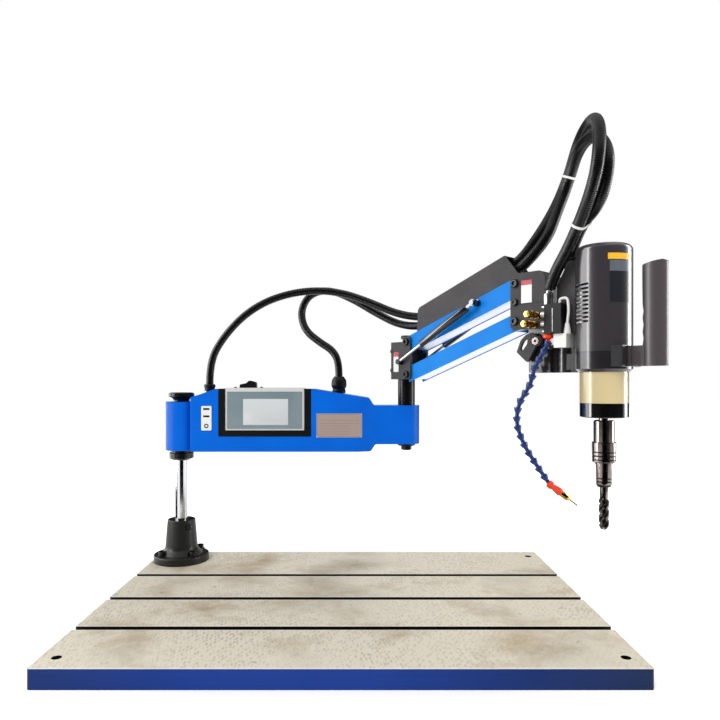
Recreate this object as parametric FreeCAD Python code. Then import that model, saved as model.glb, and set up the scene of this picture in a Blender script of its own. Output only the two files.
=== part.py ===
import FreeCAD, Part
import math
import os

from FreeCAD import Placement, Rotation, Vector

# Arm tapping machine on a T-slot bed plate.
#
# Millimetres, +Z up. X = 0, Y = 0 is the column axis and +X runs along the first arm.
# Heights in this file count from the top of the bed plate. The second arm is modelled as
# if it pointed along +X from the elbow axis, and is then swung out and set on the elbow.

# ------------------------------------------------------------------ driving sizes
# Bed plate
plate_length = 1062.0
plate_depth = 748.0
plate_thickness = 36.0
plate_left = 76.0        # column axis to the left edge
plate_back = 78.0        # column axis to the back edge
slot_count = 3
slot_pitch = 174.0
slot_from_front = 180.0
slot_throat = 18.0
slot_throat_depth = 12.0
slot_head_width = 30.0
slot_head_height = 11.0
fixing_hole_radius = 9.0
fixing_inset_x = 30.0
fixing_inset_y = 45.0

# Column and its foot
column_radius = 16.5
column_seat = 10.0       # floor of the foot under the column
foot_radius = 73.0
foot_flange = 18.0
foot_height = 112.0
foot_top_radius = 36.5
foot_waist_radius = 43.0
foot_bolt_circle = 58.0  # radius
foot_bolt_radius = 6.0
foot_screw_x = 27.0      # clamp screw beside the column
foot_screw_drop = 18.0
foot_screw_seat = 22.0   # centre plane to the screw head's seat
spot_radius = 13.0       # flat round each foot bolt
collar_radius = 32.3
collar_height = 17.0
collar_taper = 4.0
washer_height = 6.5
cap_radius = 34.0
cap_height = 25.0

# First arm
arm_length = 615.0       # column axis to elbow axis
arm_half_width = 52.0
arm_wall = 4.0
arm_bottom = 300.0
arm_top = 467.5
boss_radius = 42.0
boss_bottom = 301.0
boss_top = 432.0
elbow_radius = 35.0
elbow_bottom = 318.5
elbow_top = 422.5
bush_length = 38.0
bush_wall = 4.5
bearing_height = 15.0
bearing_wall = 9.5

# Cover plate on the first arm's back
back_left = 64.0
back_right = 492.0
back_low = 314.0
back_high = 440.0
back_plate = 3.0

# Conduit glands on the first arm
left_gland_x = 77.0
left_gland_radius = 9.8
left_gland_top = 480.0
elbow_gland_x = 430.5
elbow_gland_radius = 11.8
elbow_gland_top = 501.0

# Screen console let into the first arm
notch_left = 112.0
notch_right = 358.0
notch_floor = 341.0
bezel_width = 18.0
bezel_lip = 16.0
console_top = 470.0
console_depth = 60.0
console_margin = 10.0    # frame round the glass
glass_thickness = 3.0
rocker_length = 48.0
rocker_width = 20.0
rocker_centre = 185.0
rocker_pin = 3.0
rocker_pin_end = 2.5     # the pin beyond each side of the rocker
rocker_y = -12.0         # its middle, across the arm

# Elbow
elbow_yaw = 46.5         # second arm turned from the first, towards -Y
lift_angle = 19.4        # links above level
post_radius = 23.0
journal_radius = 17.0
spigot_radius = 12.5
fork_half_width = 37.0
fork_ear = 7.0
fork_back = 30.0
fork_web = 18.5
fork_bottom = 493.0
fork_block_top = 593.0
clamp_head_depth = 8.5   # the clamp screws' heads are sunk this deep
clamp_back = 21.0        # post's axis to the clamp screws
cap_stud_radius = 5.0    # on top of the post, under its cap
pin_radius = 6.0

# Parallelogram links
pivot_reach = 34.0       # elbow axis to the left pivots
lower_pivot = 506.0
pivot_gap = 86.0
link_length = 354.0
ear_reach = 12.5
link_half_width = 28.5
link_sheet = 2.5
upper_link_height = 43.0
upper_link_drop = 6.0    # link centre under its pivot line
lower_link_height = 39.0
link_tail = 4.5          # channel past a pivot
bar_height = 26.0
bar_wall = 5.0
bar_nose = 13.0

# Cable cover on the upper link
cover_height = 54.0
cover_sheet = 2.0

# Gas springs
spring_offset = 47.5     # centre plane to a spring
spring_radius = 9.0
rod_radius = 4.0
stud_radius = 5.0
lower_stud = (15.7, 539.3)
upper_stud = (259.4, 675.0)
cylinder_length = 170.0
spring_eye = 8.0

# Head
head_reach = 192.0       # right pivots to the spindle axis
knuckle_left = 391.0
knuckle_right = 444.0
knuckle_top = 732.0
knuckle_bottom = 604.0
carrier_bottom = 506.0
carrier_top = 559.0
motor_radius = 57.0
motor_top = 777.0
motor_wall = 3.0
ring_top = 548.0
gearbox_radius = 49.0
gearbox_bottom = 441.0
nose_ring_bottom = 411.0
spindle_radius = 10.5
vent_count = 10
vent_pitch = 8.5
vent_height = 4.4
vent_first = 608.0
vent_bearing = 55.0      # degrees from the arm's side of the motor
vent_chord = 56.0
pad_reach = 59.0         # spindle axis to the face that carries the handle
pad_half_width = 44.0
grip_reach = 105.6       # spindle axis to the grip
grip_half_length = 24.0
grip_half_width = 19.0
groove_count = 3         # finger grooves
groove_depth = 6.5
grip_bottom = 517.0
grip_top = 722.0
button_radius = 7.0
lever_hub = (429.0, 575.0)
lever_thickness = 8.0
valve_knobs = (("upper", 428.0, 632.0), ("lower", 420.5, 611.5))
valve_body_end = 30.0    # needle valve bodies, from the knuckle's side
valve_knob_end = 50.0

# Valve block on the head
valve_left = 450.0
valve_width = 40.0
valve_bottom = 589.0
valve_height = 63.0

# Quick-change chuck and tap
chuck_radius = 21.0
chuck_top = 405.0
sleeve_radius = 24.5
sleeve_bottom = 316.5
sleeve_top = 359.0
collet_radius = 16.5
collet_bottom = 265.0
shank_radius = 8.5
flute_radius = 10.3
flute_top = 240.0
tap_tip = 176.0
flute_count = 3
flute_lead = 62.0
flute_gash = 4.6
flute_centre = 9.6       # tap axis to a gash's centre line

# Conduits and coolant hose
elbow_conduit_radius = 10.5
loop_conduit_radius = 13.0
hose_pitch = 19.6
hose_radius = 8.6
hose_neck = 4.6
ball_radius = 6.2
socket_depth = 6.2
nozzle_body = 32.0

# Fits
turning_fit = 0.05       # radial, a pin or shaft that turns in its hole
seat = 0.3               # between pieces that only lie against each other
tight = 0.02             # radial, a piece pressed or clamped in place
smallest_arc = 2.6       # a smaller corner radius is cut as a chamfer

UP = Vector(0, 0, 1)

# Routes, as points chosen by hand. On the column frame, above the plate:
elbow_conduit_upper = [
    (77, 0, 480), (77, 0, 541), (112, 7, 608), (171, 13, 673), (244, 20, 717), (338, 24, 740),
    (430, 18, 735), (513, 2, 705), (591, -20, 668), (662, -51, 656), (699, -86, 674), (724, -114, 688),
]
elbow_conduit_lower = [
    (430.5, 0, 501), (430.5, 0, 538), (414, 8, 572), (377, 20, 595), (333, 36, 631), (320, 54, 686),
    (344, 68, 735), (400, 68, 749), (468, 50, 719), (532, 24, 677), (597, -8, 640), (660, -52, 633),
    (698, -85, 650), (730, -121, 667),
]
# On the second arm: along it, across it, above the plate.
loop_conduit_upper = [
    (172, 7, 697), (251, 7, 724), (346, 8, 761), (386, 40, 830), (406, 80, 899), (423, 104, 971),
    (470, 66, 1037), (545, -16, 1044), (592, -84, 992), (602, -108, 920), (581, -98, 862),
    (541, -70, 809), (505, -53, 761), (472, -45, 720), (459.5, -42.5, 690.5),
]
loop_conduit_lower = [
    (180, -7, 675), (255, -6.5, 702), (345, -6, 734), (419, 12, 806), (427, 42, 874), (441, 68, 942),
    (484, 34, 1004), (554, -28, 1004), (603, -70, 948), (603, -76, 886), (576, -60, 840),
    (518, -22, 818), (486, -6, 762),
]
air_tube = [(480, -38, 654), (480, -38, 664), (498, -38, 666), (501, -38, 640), (497.5, -38, 611)]
# The coolant hose lies in an upright plane from its ball seat towards the tap.
hose_seat = (453.0, -40.0, 571.0)
hose_aim = (0.938, 0.346)
hose_line = [
    (0, 0), (-9, -20), (-29, -52), (-38, -95), (-63, -130), (-70, -178), (-51, -228), (-22, -272), (3, -308),
]
nozzle_end = (50, -342)

# ------------------------------------------------------------------ derived sizes
upper_pivot = lower_pivot + pivot_gap
rise = math.radians(lift_angle)
right_pivot_t = pivot_reach + link_length * math.cos(rise)
right_pivot_rise = link_length * math.sin(rise)
spindle_t = right_pivot_t + head_reach
plate_front = plate_depth - plate_back
console_left = notch_left + bezel_width
console_right = notch_right - bezel_width
console_floor = notch_floor + bezel_lip
bearing_outer = journal_radius + turning_fit + bearing_wall
lever_near = -fork_half_width - lever_thickness
lever_far = -fork_half_width - seat
socket_radius = ball_radius + 0.4

BENCH = Placement(Vector(0, 0, plate_thickness), Rotation())
SECOND_ARM = Placement(Vector(arm_length, 0, plate_thickness), Rotation(UP, -elbow_yaw))


# ------------------------------------------------------------------ helpers
def save(name, shapes, frame=BENCH):
    """Write one node: a solid, or a list of separate solids, set in its frame."""
    if not isinstance(shapes, list):
        shapes = [shapes]
    solids = [solid for shape in shapes for solid in shape.Solids]
    node = solids[0].copy() if len(solids) == 1 else Part.makeCompound(solids)
    node.Placement = frame.multiply(node.Placement)
    node.exportStep("parts/" + name + ".step")
    print(f"{name}: {len(solids)} solids, {node.Volume / 1000:.1f} cm3")


def rod(radius, start, end):
    """A cylinder between two points."""
    start = Vector(*start)
    axis = Vector(*end) - start
    return Part.makeCylinder(radius, axis.Length, start, axis)


def cross_rod(radius, at, y0, y1):
    """A cylinder across the arm through a point, from y0 to y1."""
    return rod(radius, (at.x, y0, at.z), (at.x, y1, at.z))


def block(low, high):
    """A box between two corners."""
    size = Vector(*high) - Vector(*low)
    return Part.makeBox(size.x, size.y, size.z, Vector(*low))


def corner_arc(before, corner, after, trim):
    """Start, middle and end of the arc that rounds a corner, and its radius."""
    back = (before - corner).normalize()
    on = (after - corner).normalize()
    half = back.getAngle(on) / 2
    radius = trim * math.tan(half)
    middle = corner + (back + on).normalize() * (radius / math.sin(half) - radius)
    return corner + back * trim, middle, corner + on * trim, radius


def outline(corners, place):
    """A closed wire through (a, b) or (a, b, radius) corners, with place(a, b) in 3-D.

    A radius too small to see is cut as a chamfer, which keeps the faces few.
    """
    points = [place(c[0], c[1]) for c in corners]
    edges = []
    ends = []
    for i, corner in enumerate(corners):
        radius = corner[2] if len(corner) > 2 else 0.0
        before, point, after = points[i - 1], points[i], points[(i + 1) % len(points)]
        if radius == 0.0:
            ends.append((point, point))
            continue
        half = (before - point).getAngle(after - point) / 2
        trim = radius / math.tan(half)
        start, middle, end, _ = corner_arc(before, point, after, trim)
        ends.append((start, end))
        if radius < smallest_arc:
            edges.append(Part.LineSegment(start, end).toShape())
        else:
            edges.append(Part.Arc(start, middle, end).toShape())
    for i, (_, end) in enumerate(ends):
        start = ends[(i + 1) % len(ends)][0]
        if (start - end).Length > 1e-6:
            edges.append(Part.LineSegment(end, start).toShape())
    return Part.Wire(Part.__sortEdges__(edges))


def side_prism(corners, y0, y1):
    """An outline in X and Z, as thick as y0 to y1."""
    wire = outline(corners, lambda a, b: Vector(a, y0, b))
    return Part.Face(wire).extrude(Vector(0, y1 - y0, 0))


def plan_prism(corners, z0, z1):
    """An outline in X and Y, as high as z0 to z1."""
    wire = outline(corners, lambda a, b: Vector(a, b, z0))
    return Part.Face(wire).extrude(Vector(0, 0, z1 - z0))


def turned(corners, x=0.0, y=0.0):
    """A profile of (radius, height) corners turned about an upright axis."""
    wire = outline(corners, lambda a, b: Vector(x + a, y, b))
    return Part.Face(wire).revolve(Vector(x, y, 0), UP, 360)


def turned_along(corners, start, end):
    """A profile of (radius, distance) corners turned about the line from start to end."""
    shape = turned(corners)
    axis = Vector(*end) - Vector(*start)
    shape.Placement = Placement(Vector(*start), Rotation(UP, axis))
    return shape


def ring(outer, inner, z0, z1, x=0.0):
    return turned([(inner, z0), (outer, z0), (outer, z1), (inner, z1)], x)


def mirrored(corners):
    """Both sides of a plan outline given on its +Y side, from one end to the other."""
    return corners + [(c[0], -c[1], *c[2:]) for c in reversed(corners)]


def link_frame(pivot_height):
    """Puts (along the link, across, above its pivot line) on the second arm."""
    turn = Rotation(Vector(0, 1, 0), -lift_angle)
    return Placement(Vector(pivot_reach, 0, pivot_height), turn)


def fused(shapes):
    return shapes[0].fuse(shapes[1:]).removeSplitter()


# ------------------------------------------------------------------ bed and column
def t_slots():
    """The T-slots, each a throat and a wider head."""
    cutters = []
    half_throat = slot_throat / 2
    half_head = slot_head_width / 2
    bottom = -slot_throat_depth - slot_head_height
    for i in range(slot_count):
        y = slot_from_front - plate_front + i * slot_pitch
        section = [
            (y - half_throat, 1),
            (y - half_throat, -slot_throat_depth),
            (y - half_head, -slot_throat_depth),
            (y - half_head, bottom),
            (y + half_head, bottom),
            (y + half_head, -slot_throat_depth),
            (y + half_throat, -slot_throat_depth),
            (y + half_throat, 1),
        ]
        start = -plate_left - 1
        wire = outline(section, lambda a, b: Vector(start, a, b))
        cutters.append(Part.Face(wire).extrude(Vector(plate_length + 2, 0, 0)))
    return cutters


def foot_bolts_at():
    """The four bolts of the foot, set between the axes."""
    reach = foot_bolt_circle * math.sqrt(0.5)
    return [(sx * reach, sy * reach) for sx in (-1, 1) for sy in (-1, 1)]


def bed_plate():
    right = plate_length - plate_left
    plate = block((-plate_left, -plate_front, -plate_thickness), (right, plate_back, 0))
    upright = [e for e in plate.Edges if abs(e.tangentAt(0).z) > 0.9]
    plate = plate.makeChamfer(3.0, upright)
    front = fixing_inset_y - plate_front
    back = plate_back - fixing_inset_y
    far = right - fixing_inset_x
    near = fixing_inset_x - plate_left
    holes = [
        rod(fixing_hole_radius, (x, y, -plate_thickness - 1), (x, y, 1))
        for x, y in ((near, front), (far, front), (far, back))
    ]
    tapped = [
        rod(foot_bolt_radius, (x, y, -plate_thickness + 8), (x, y, 1))
        for x, y in foot_bolts_at()
    ]
    save("bed_plate", plate.cut(t_slots() + holes + tapped))


def column_foot():
    bore = column_radius + tight
    body = turned([
        (0, 0),
        (foot_radius, 0),
        (foot_radius, foot_flange, 3),
        (foot_waist_radius + 14, foot_flange + 3, 8),
        (foot_waist_radius, foot_flange + 16, 16),
        (foot_top_radius, foot_height, 1.5),
        (0, foot_height),
    ])
    cutters = [rod(bore, (0, 0, column_seat), (0, 0, foot_height + 1))]
    for x, y in foot_bolts_at():
        cutters.append(rod(foot_bolt_radius + 0.6, (x, y, -1), (x, y, foot_height)))
        for out in (1.0, 1.5):
            spot = (out * x, out * y)
            cutters.append(rod(spot_radius, (*spot, foot_flange - 1), (*spot, foot_height)))
    cutters.append(block((0, -1.5, foot_height - 42), (foot_radius, 1.5, foot_height + 1)))
    x, z = foot_screw_x, foot_height - foot_screw_drop
    cutters.append(rod(4.2, (x, -60, z), (x, 20, z)))
    cutters.append(rod(8, (x, -60, z), (x, -foot_screw_seat, z)))
    save("column_foot", body.cut(cutters))


def foot_fasteners():
    """Four hold-down screws with washers, and the clamp screw across the split."""
    pieces = []
    base = foot_flange - 1
    for x, y in foot_bolts_at():
        screw = turned([
            (0, base - foot_flange - 20), (foot_bolt_radius - 0.3, base - foot_flange - 20),
            (foot_bolt_radius - 0.3, base + 2.5), (12, base + 2.5), (12, base + 2.5 + 2),
            (9, base + 2.5 + 2), (9, base + 15, 1), (5, base + 15), (5, base + 9), (0, base + 9),
        ], x, y)
        washer = turned([(6.4, base), (12.5, base), (12.5, base + 2.2), (6.4, base + 2.2)], x, y)
        pieces += [screw, washer]
    x, z = foot_screw_x, foot_height - foot_screw_drop
    clamp = turned_along(
        [(0, 0), (7, 0, 1), (7, 8), (4, 8), (4, 46), (0, 46)],
        (x, -foot_screw_seat - 8, z), (x, 0, z),
    )
    save("foot_fasteners", pieces + [clamp])


def column():
    top = boss_top + cap_height - 6
    shaft = turned([
        (0, column_seat), (column_radius, column_seat), (column_radius, top - 2),
        (column_radius - 2, top), (0, top),
    ])
    save("column", shaft)


def column_collar():
    """The split collar and the thrust washer that carry the first arm."""
    top = boss_bottom - seat - washer_height
    bottom = top - collar_height
    bore = column_radius + tight
    collar = turned([
        (bore, bottom - collar_taper), (21, bottom - collar_taper), (collar_radius - 3, bottom),
        (collar_radius, bottom + 2), (collar_radius, top - 1.5), (collar_radius - 1.5, top),
        (bore, top),
    ])
    collar = collar.cut(block((0, -1.2, bottom - 10), (collar_radius + 1, 1.2, top + 1)))
    washer = ring(collar_radius - 4, bore, top, top + washer_height - seat)
    save("column_collar", [collar, washer])


def column_cap():
    low = boss_top + seat
    disc = boss_top + cap_height - 11
    bore = column_radius + tight
    cap = turned([
        (bore, low), (23, low), (20, low + 4, 4), (26, disc - 3, 4), (cap_radius, disc, 1),
        (cap_radius, disc + 9, 2), (cap_radius - 6, disc + 11, 4), (0, disc + 11.5),
        (0, disc + 5), (bore, disc + 5),
    ])
    save("column_cap", cap)


# ------------------------------------------------------------------ first arm
def arm_side(inset):
    """The first arm seen from the front, drawn in from its outside by inset."""
    i = inset
    return [
        (37 + i, arm_bottom + i, 6), (37 + i, 445 - i, 5), (62 + i / 2, 452.5 - i, 14),
        (104, arm_top - i, 14), (362, arm_top - 0.5 - i, 60), (513 - i / 2, 443 - i, 10),
        (526 - i, elbow_top - i, 6 + i), (arm_length, elbow_top - i), (arm_length, elbow_bottom + i),
        (529 - i, elbow_bottom + i, 7 + i), (517 - i, arm_bottom + i, 9),
    ]


def arm_plan(inset):
    """One side of the first arm seen from above, from the column to the elbow."""
    i = inset
    return [
        (8, boss_radius - 2 - i), (40, arm_half_width - i, 10), (484 - i, arm_half_width - i, 40),
        (532 - i, elbow_radius - i, 40), (arm_length, elbow_radius - i),
    ]


def first_arm_housing():
    side = side_prism(arm_side(0), -80, 80)
    plan = plan_prism(mirrored(arm_plan(0)), arm_bottom, 500)
    shell = side.common(plan)
    column_boss = rod(boss_radius, (0, 0, boss_bottom), (0, 0, boss_top))
    elbow_boss = rod(elbow_radius, (arm_length, 0, elbow_bottom), (arm_length, 0, elbow_top))
    shell = fused([shell, column_boss, elbow_boss])
    # The hollow stops short of both bosses.
    w = arm_wall
    hollow = side_prism(arm_side(w), -80, 80).common(plan_prism(mirrored(arm_plan(w)), arm_bottom, 500))
    room = block((boss_radius + w, -80, 0), (arm_length - elbow_radius - 30, 80, 500))
    hollow = hollow.common(room)
    bush_outer = column_radius + turning_fit + bush_wall
    cutters = [
        hollow,
        rod(bush_outer + tight, (0, 0, 0), (0, 0, 500)),
        rod(bearing_outer + tight, (arm_length, 0, 0), (arm_length, 0, 500)),
        block((notch_left, -80, notch_floor), (notch_right, console_depth - arm_half_width, 500)),
        block((back_left + 8, 0, back_low + 8), (back_right - 8, 80, back_high - 8)),
        rod(left_gland_radius, (left_gland_x, 0, 440), (left_gland_x, 0, 500)),
        rod(elbow_gland_radius, (elbow_gland_x, 0, 440), (elbow_gland_x, 0, 500)),
    ]
    save("first_arm_housing", shell.cut(cutters))


def back_screws_at():
    across = (back_left + 14, (back_left + back_right) / 2, back_right - 14)
    return [(x, z) for x in across for z in (back_low + 4, back_high - 4)]


def first_arm_back_plate():
    y0 = arm_half_width
    corners = [
        (back_left, back_low, 8), (back_right, back_low, 8),
        (back_right, back_high, 8), (back_left, back_high, 8),
    ]
    plate = side_prism(corners, y0, y0 + back_plate)
    screws = []
    for x, z in back_screws_at():
        plate = plate.cut(rod(2.1, (x, y0 - 1, z), (x, y0 + 9, z)))
        profile = [(0, 0), (4, 0), (4, 1.5, 1.2), (0, 2.4)]
        top = y0 + back_plate
        screws.append(turned_along(profile, (x, top, z), (x, top + 1, z)))
    save("first_arm_back_plate", plate)
    save("back_plate_screws", screws)


def arm_bearings():
    """Two bronze bushes on the column and two bearings for the elbow post."""
    inner = column_radius + turning_fit
    outer = inner + bush_wall
    bushes = [
        ring(outer, inner, boss_bottom, boss_bottom + bush_length),
        ring(outer, inner, boss_top - bush_length, boss_top),
    ]
    inner = journal_radius + turning_fit
    bearings = [
        ring(bearing_outer, inner, elbow_bottom, elbow_bottom + bearing_height, arm_length),
        ring(bearing_outer, inner, elbow_top - bearing_height, elbow_top, arm_length),
    ]
    save("arm_bearings", bushes + bearings)


def screen_console():
    """Black U-shaped surround, silver case and glass, let into the notch."""
    front = -arm_half_width
    gap = seat / 2
    surround = side_prism([
        (notch_left + gap, arm_top), (notch_left + gap, notch_floor + gap, 2),
        (notch_right - gap, notch_floor + gap, 2), (notch_right - gap, arm_top),
        (console_right, arm_top), (console_right, console_floor), (console_left, console_floor),
        (console_left, arm_top),
    ], front - 1.5, front + 22)
    save("screen_surround", surround)
    left, right = console_left + gap, console_right - gap
    case = side_prism(
        [(left, console_floor + gap), (right, console_floor + gap),
         (right, console_top, 3), (left, console_top, 3)],
        front + 0.5, front + console_depth - seat,
    )
    window = block(
        (left + 5, front - 1, console_floor + 4),
        (right - 5, front + 0.5 + glass_thickness, console_top - console_margin),
    )
    recess = block(
        (rocker_centre - rocker_length / 2 - 1, rocker_y - rocker_width / 2 - seat, console_top - 14),
        (rocker_centre + rocker_length / 2 + 1, rocker_y + rocker_width / 2 + seat, console_top + 1),
    )
    reach = rocker_width / 2 + rocker_pin_end + seat
    pivot = console_top - 4
    ends = [(rocker_centre, rocker_y + side * reach, pivot) for side in (-1, 1)]
    pin = rod(rocker_pin + turning_fit, *ends)
    save("screen_case", case.cut([window, recess, pin]))
    glass = block(
        (left + 5 + gap, front + 0.8, console_floor + 4 + gap),
        (right - 5 - gap, front + 0.5 + glass_thickness, console_top - console_margin - gap),
    )
    save("screen_glass", glass)


def power_rocker():
    """A rocker on its own pin, standing higher at its right end."""
    half = rocker_length / 2 - 1
    pivot = console_top - 4
    middle = rocker_centre - 3
    body = side_prism([
        (rocker_centre - half, pivot - 1, 2), (rocker_centre + half, pivot + 2, 2),
        (rocker_centre + half - 1, pivot + 19, 5), (middle + 6, pivot + 24, 6), (middle, pivot + 18, 3),
        (middle - 2, pivot + 16.5), (rocker_centre - half + 1, pivot + 13, 3),
    ], rocker_y - rocker_width / 2, rocker_y + rocker_width / 2)
    reach = rocker_width / 2 + rocker_pin_end
    ends = [(rocker_centre, rocker_y + side * reach, pivot) for side in (-1, 1)]
    axle = rod(rocker_pin, *ends)
    save("power_rocker", fused([body, axle]))


def port_panel():
    """White panel with two slots and a round socket."""
    front = -arm_half_width
    panel = side_prism([(67, 357, 3), (94, 357, 3), (94, 422, 3), (67, 422, 3)], front - 2.5, front)
    cutters = [
        block((72, front - 3, 411.5), (89, front - 1, 416.5)),
        block((72, front - 3, 392), (89, front - 1, 397)),
        rod(6, (80.5, front - 3, 369), (80.5, front - 1, 369)),
    ]
    socket = rod(3, (80.5, front - 2, 369), (80.5, front - 1, 369))
    save("port_panel", panel.cut(cutters).fuse(socket).removeSplitter())


def servo_drive():
    """The drive inside the first arm, with its cooling fins."""
    body = block((378, -36, arm_bottom + arm_wall), (486, 20, arm_bottom + 110))
    fins = [
        block((378, 20, arm_bottom + 12 + 12 * i), (486, 40, arm_bottom + 15 + 12 * i))
        for i in range(8)
    ]
    save("servo_drive", fused([body] + fins))


def hexagon(across, z0, z1, x):
    reach = across / 2 / math.cos(math.pi / 6)
    corners = [
        (x + reach * math.cos(i * math.pi / 3), reach * math.sin(i * math.pi / 3)) for i in range(6)
    ]
    return plan_prism(corners, z0, z1)


def conduit_glands():
    """The straight gland by the column and the round-bodied gland near the elbow."""
    seat_z = 463.5
    bore = elbow_conduit_radius - 2.5
    left = turned([
        (bore, 446), (left_gland_radius - tight, 446), (left_gland_radius - tight, seat_z - 2),
        (14, seat_z - 2), (14, 471, 1), (15.5, 472, 1), (15.5, left_gland_top - 2, 2), (12, left_gland_top),
        (bore, left_gland_top),
    ], left_gland_x)
    slope = math.atan2(arm_top - 0.5 - 443, 513 - 362)
    seat_z = arm_top - 0.5 - (elbow_gland_x - 362) * math.tan(slope)
    elbow = turned([
        (bore, 444), (elbow_gland_radius - tight, 444), (elbow_gland_radius - tight, seat_z - 1),
        (17.5, seat_z - 1), (18.5, seat_z + 7, 2), (16, seat_z + 9, 2), (21, seat_z + 19, 7),
        (20, seat_z + 34, 7), (13, elbow_gland_top, 2), (bore, elbow_gland_top),
    ], elbow_gland_x)
    inner = first_arm_top_skin()
    save("conduit_glands", [left.cut(inner), elbow.cut(inner)])


def first_arm_top_skin():
    """The first arm's outside, with room under it for a gland's thread."""
    side = side_prism(arm_side(-seat / 2), -80, 80)
    holes = [
        rod(left_gland_radius, (left_gland_x, 0, 400), (left_gland_x, 0, 500)),
        rod(elbow_gland_radius, (elbow_gland_x, 0, 400), (elbow_gland_x, 0, 500)),
    ]
    return side.cut(holes)


# ------------------------------------------------------------------ elbow
def elbow_post():
    """The black post that turns in the first arm, with its journal below."""
    top = fork_block_top - 4
    shoulder = elbow_top + seat
    post = turned([
        (0, elbow_bottom - 12), (journal_radius - 6, elbow_bottom - 12),
        (journal_radius - 6, elbow_bottom - 1), (journal_radius, elbow_bottom - 1),
        (journal_radius, shoulder), (post_radius, shoulder), (post_radius, fork_bottom, 1),
        (spigot_radius, fork_bottom), (spigot_radius, top), (cap_stud_radius, top),
        (cap_stud_radius, fork_block_top + 14), (0, fork_block_top + 14),
    ])
    save("elbow_post", post, SECOND_ARM)


def elbow_lock_nut():
    """The cap washer and nut that hold the post in the first arm."""
    bore = journal_radius - 6 + tight
    low = elbow_bottom - 1 - seat
    washer = turned([(bore, low - 5), (22, low - 5), (24, low - 3), (24, low), (bore, low)])
    nut = hexagon(26, elbow_bottom - 17, low - 5, 0.0)
    nut = nut.cut(rod(bore, (0, 0, 0), (0, 0, 500)))
    cap = turned([
        (0, elbow_bottom - 18.5), (10, elbow_bottom - 18.5), (12.5, elbow_bottom - 17),
        (0, elbow_bottom - 17),
    ])
    low = fork_block_top + seat
    bore = cap_stud_radius + tight
    top_cap = turned([
        (bore, low), (9, low), (9, low + 8), (15, low + 10), (15, low + 17), (13, low + 19),
        (0, low + 19), (0, fork_block_top + 14 + seat), (bore, fork_block_top + 14 + seat),
    ])
    save("elbow_lock_nut", [washer, nut.fuse(cap).removeSplitter(), top_cap], SECOND_ARM)


def fork_holes():
    return [
        rod(pin_radius + tight, (pivot_reach, -60, z), (pivot_reach, 60, z))
        for z in (lower_pivot, upper_pivot)
    ]


def elbow_fork():
    """Clamp block on the post with two ears forward for the links."""
    half = fork_half_width
    block_plan = [(-fork_back, half, 13), (fork_web, half)]
    body = plan_prism(mirrored(block_plan), fork_bottom, fork_block_top)
    ear_end = pivot_reach + ear_reach
    ears = side_prism([
        (0, fork_bottom), (ear_end, fork_bottom, 9), (ear_end, upper_pivot + 15, 10),
        (pivot_reach - 12, upper_pivot + 15, 8), (pivot_reach - 15, fork_block_top), (0, fork_block_top),
    ], -half, half)
    inside = half - fork_ear
    ears = ears.cut(block((fork_web, -inside, 0), (200, inside, 900)))
    cutters = fork_holes() + [rod(spigot_radius + tight, (0, 0, 0), (0, 0, 900))]
    cutters.append(block((-fork_back - 1, -1.2, 0), (0, 1.2, 900)))
    sink = fork_half_width - clamp_head_depth
    for z in (fork_bottom + 24, fork_block_top - 24):
        cutters.append(rod(4.2, (-clamp_back, -60, z), (-clamp_back, sink, z)))
        cutters.append(rod(6.8, (-clamp_back, -60, z), (-clamp_back, -sink, z)))
    save("elbow_fork", fused([body, ears]).cut(cutters), SECOND_ARM)


def pivot_pin(t, z):
    """A pivot bolt through a fork: socket head on the near side, nut on the far side."""
    reach = fork_half_width + seat
    head = [
        (0, 0), (pin_radius, 0), (pin_radius, 2 * reach), (9.5, 2 * reach), (9.5, 2 * reach + 7, 1.5),
        (5, 2 * reach + 7), (4, 2 * reach + 3), (0, 2 * reach + 3),
    ]
    bolt = turned_along(head, (t, reach, z), (t, -reach, z))
    nut = ring(9.5, pin_radius, 0, 6)
    nut.Placement = Placement(Vector(t, reach, z), Rotation(UP, Vector(0, 1, 0)))
    return bolt.fuse(nut).removeSplitter()


def elbow_pins():
    pins = [pivot_pin(pivot_reach, z) for z in (lower_pivot, upper_pivot)]
    clamps = []
    sink = fork_half_width - clamp_head_depth
    for z in (fork_bottom + 24, fork_block_top - 24):
        profile = [
            (0, 0), (6.5, 0, 1), (6.5, 8), (4, 8), (4, 2 * sink + 6), (0, 2 * sink + 6),
        ]
        clamps.append(turned_along(profile, (-clamp_back, -sink - 8, z), (-clamp_back, sink, z)))
    save("elbow_pins", pins + clamps, SECOND_ARM)


# ------------------------------------------------------------------ links
def link_channel(height, drop):
    """A folded channel, open below, with clearance holes round both pivots."""
    half = link_half_width
    top = height / 2 - drop
    bottom = top - height
    ends = (-link_tail, link_length + link_tail)
    outer = side_prism([
        (ends[0], bottom), (ends[1], bottom), (ends[1], top, 2), (ends[0], top, 2),
    ], -half, half)
    inner = block(
        (ends[0] - 1, link_sheet - half, bottom - 1), (ends[1] + 1, half - link_sheet, top - link_sheet)
    )
    holes = [
        rod(pin_radius + 2.5, (s, -half - 1, 0), (s, half + 1, 0)) for s in (0.0, link_length)
    ]
    return outer.cut([inner] + holes)


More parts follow.
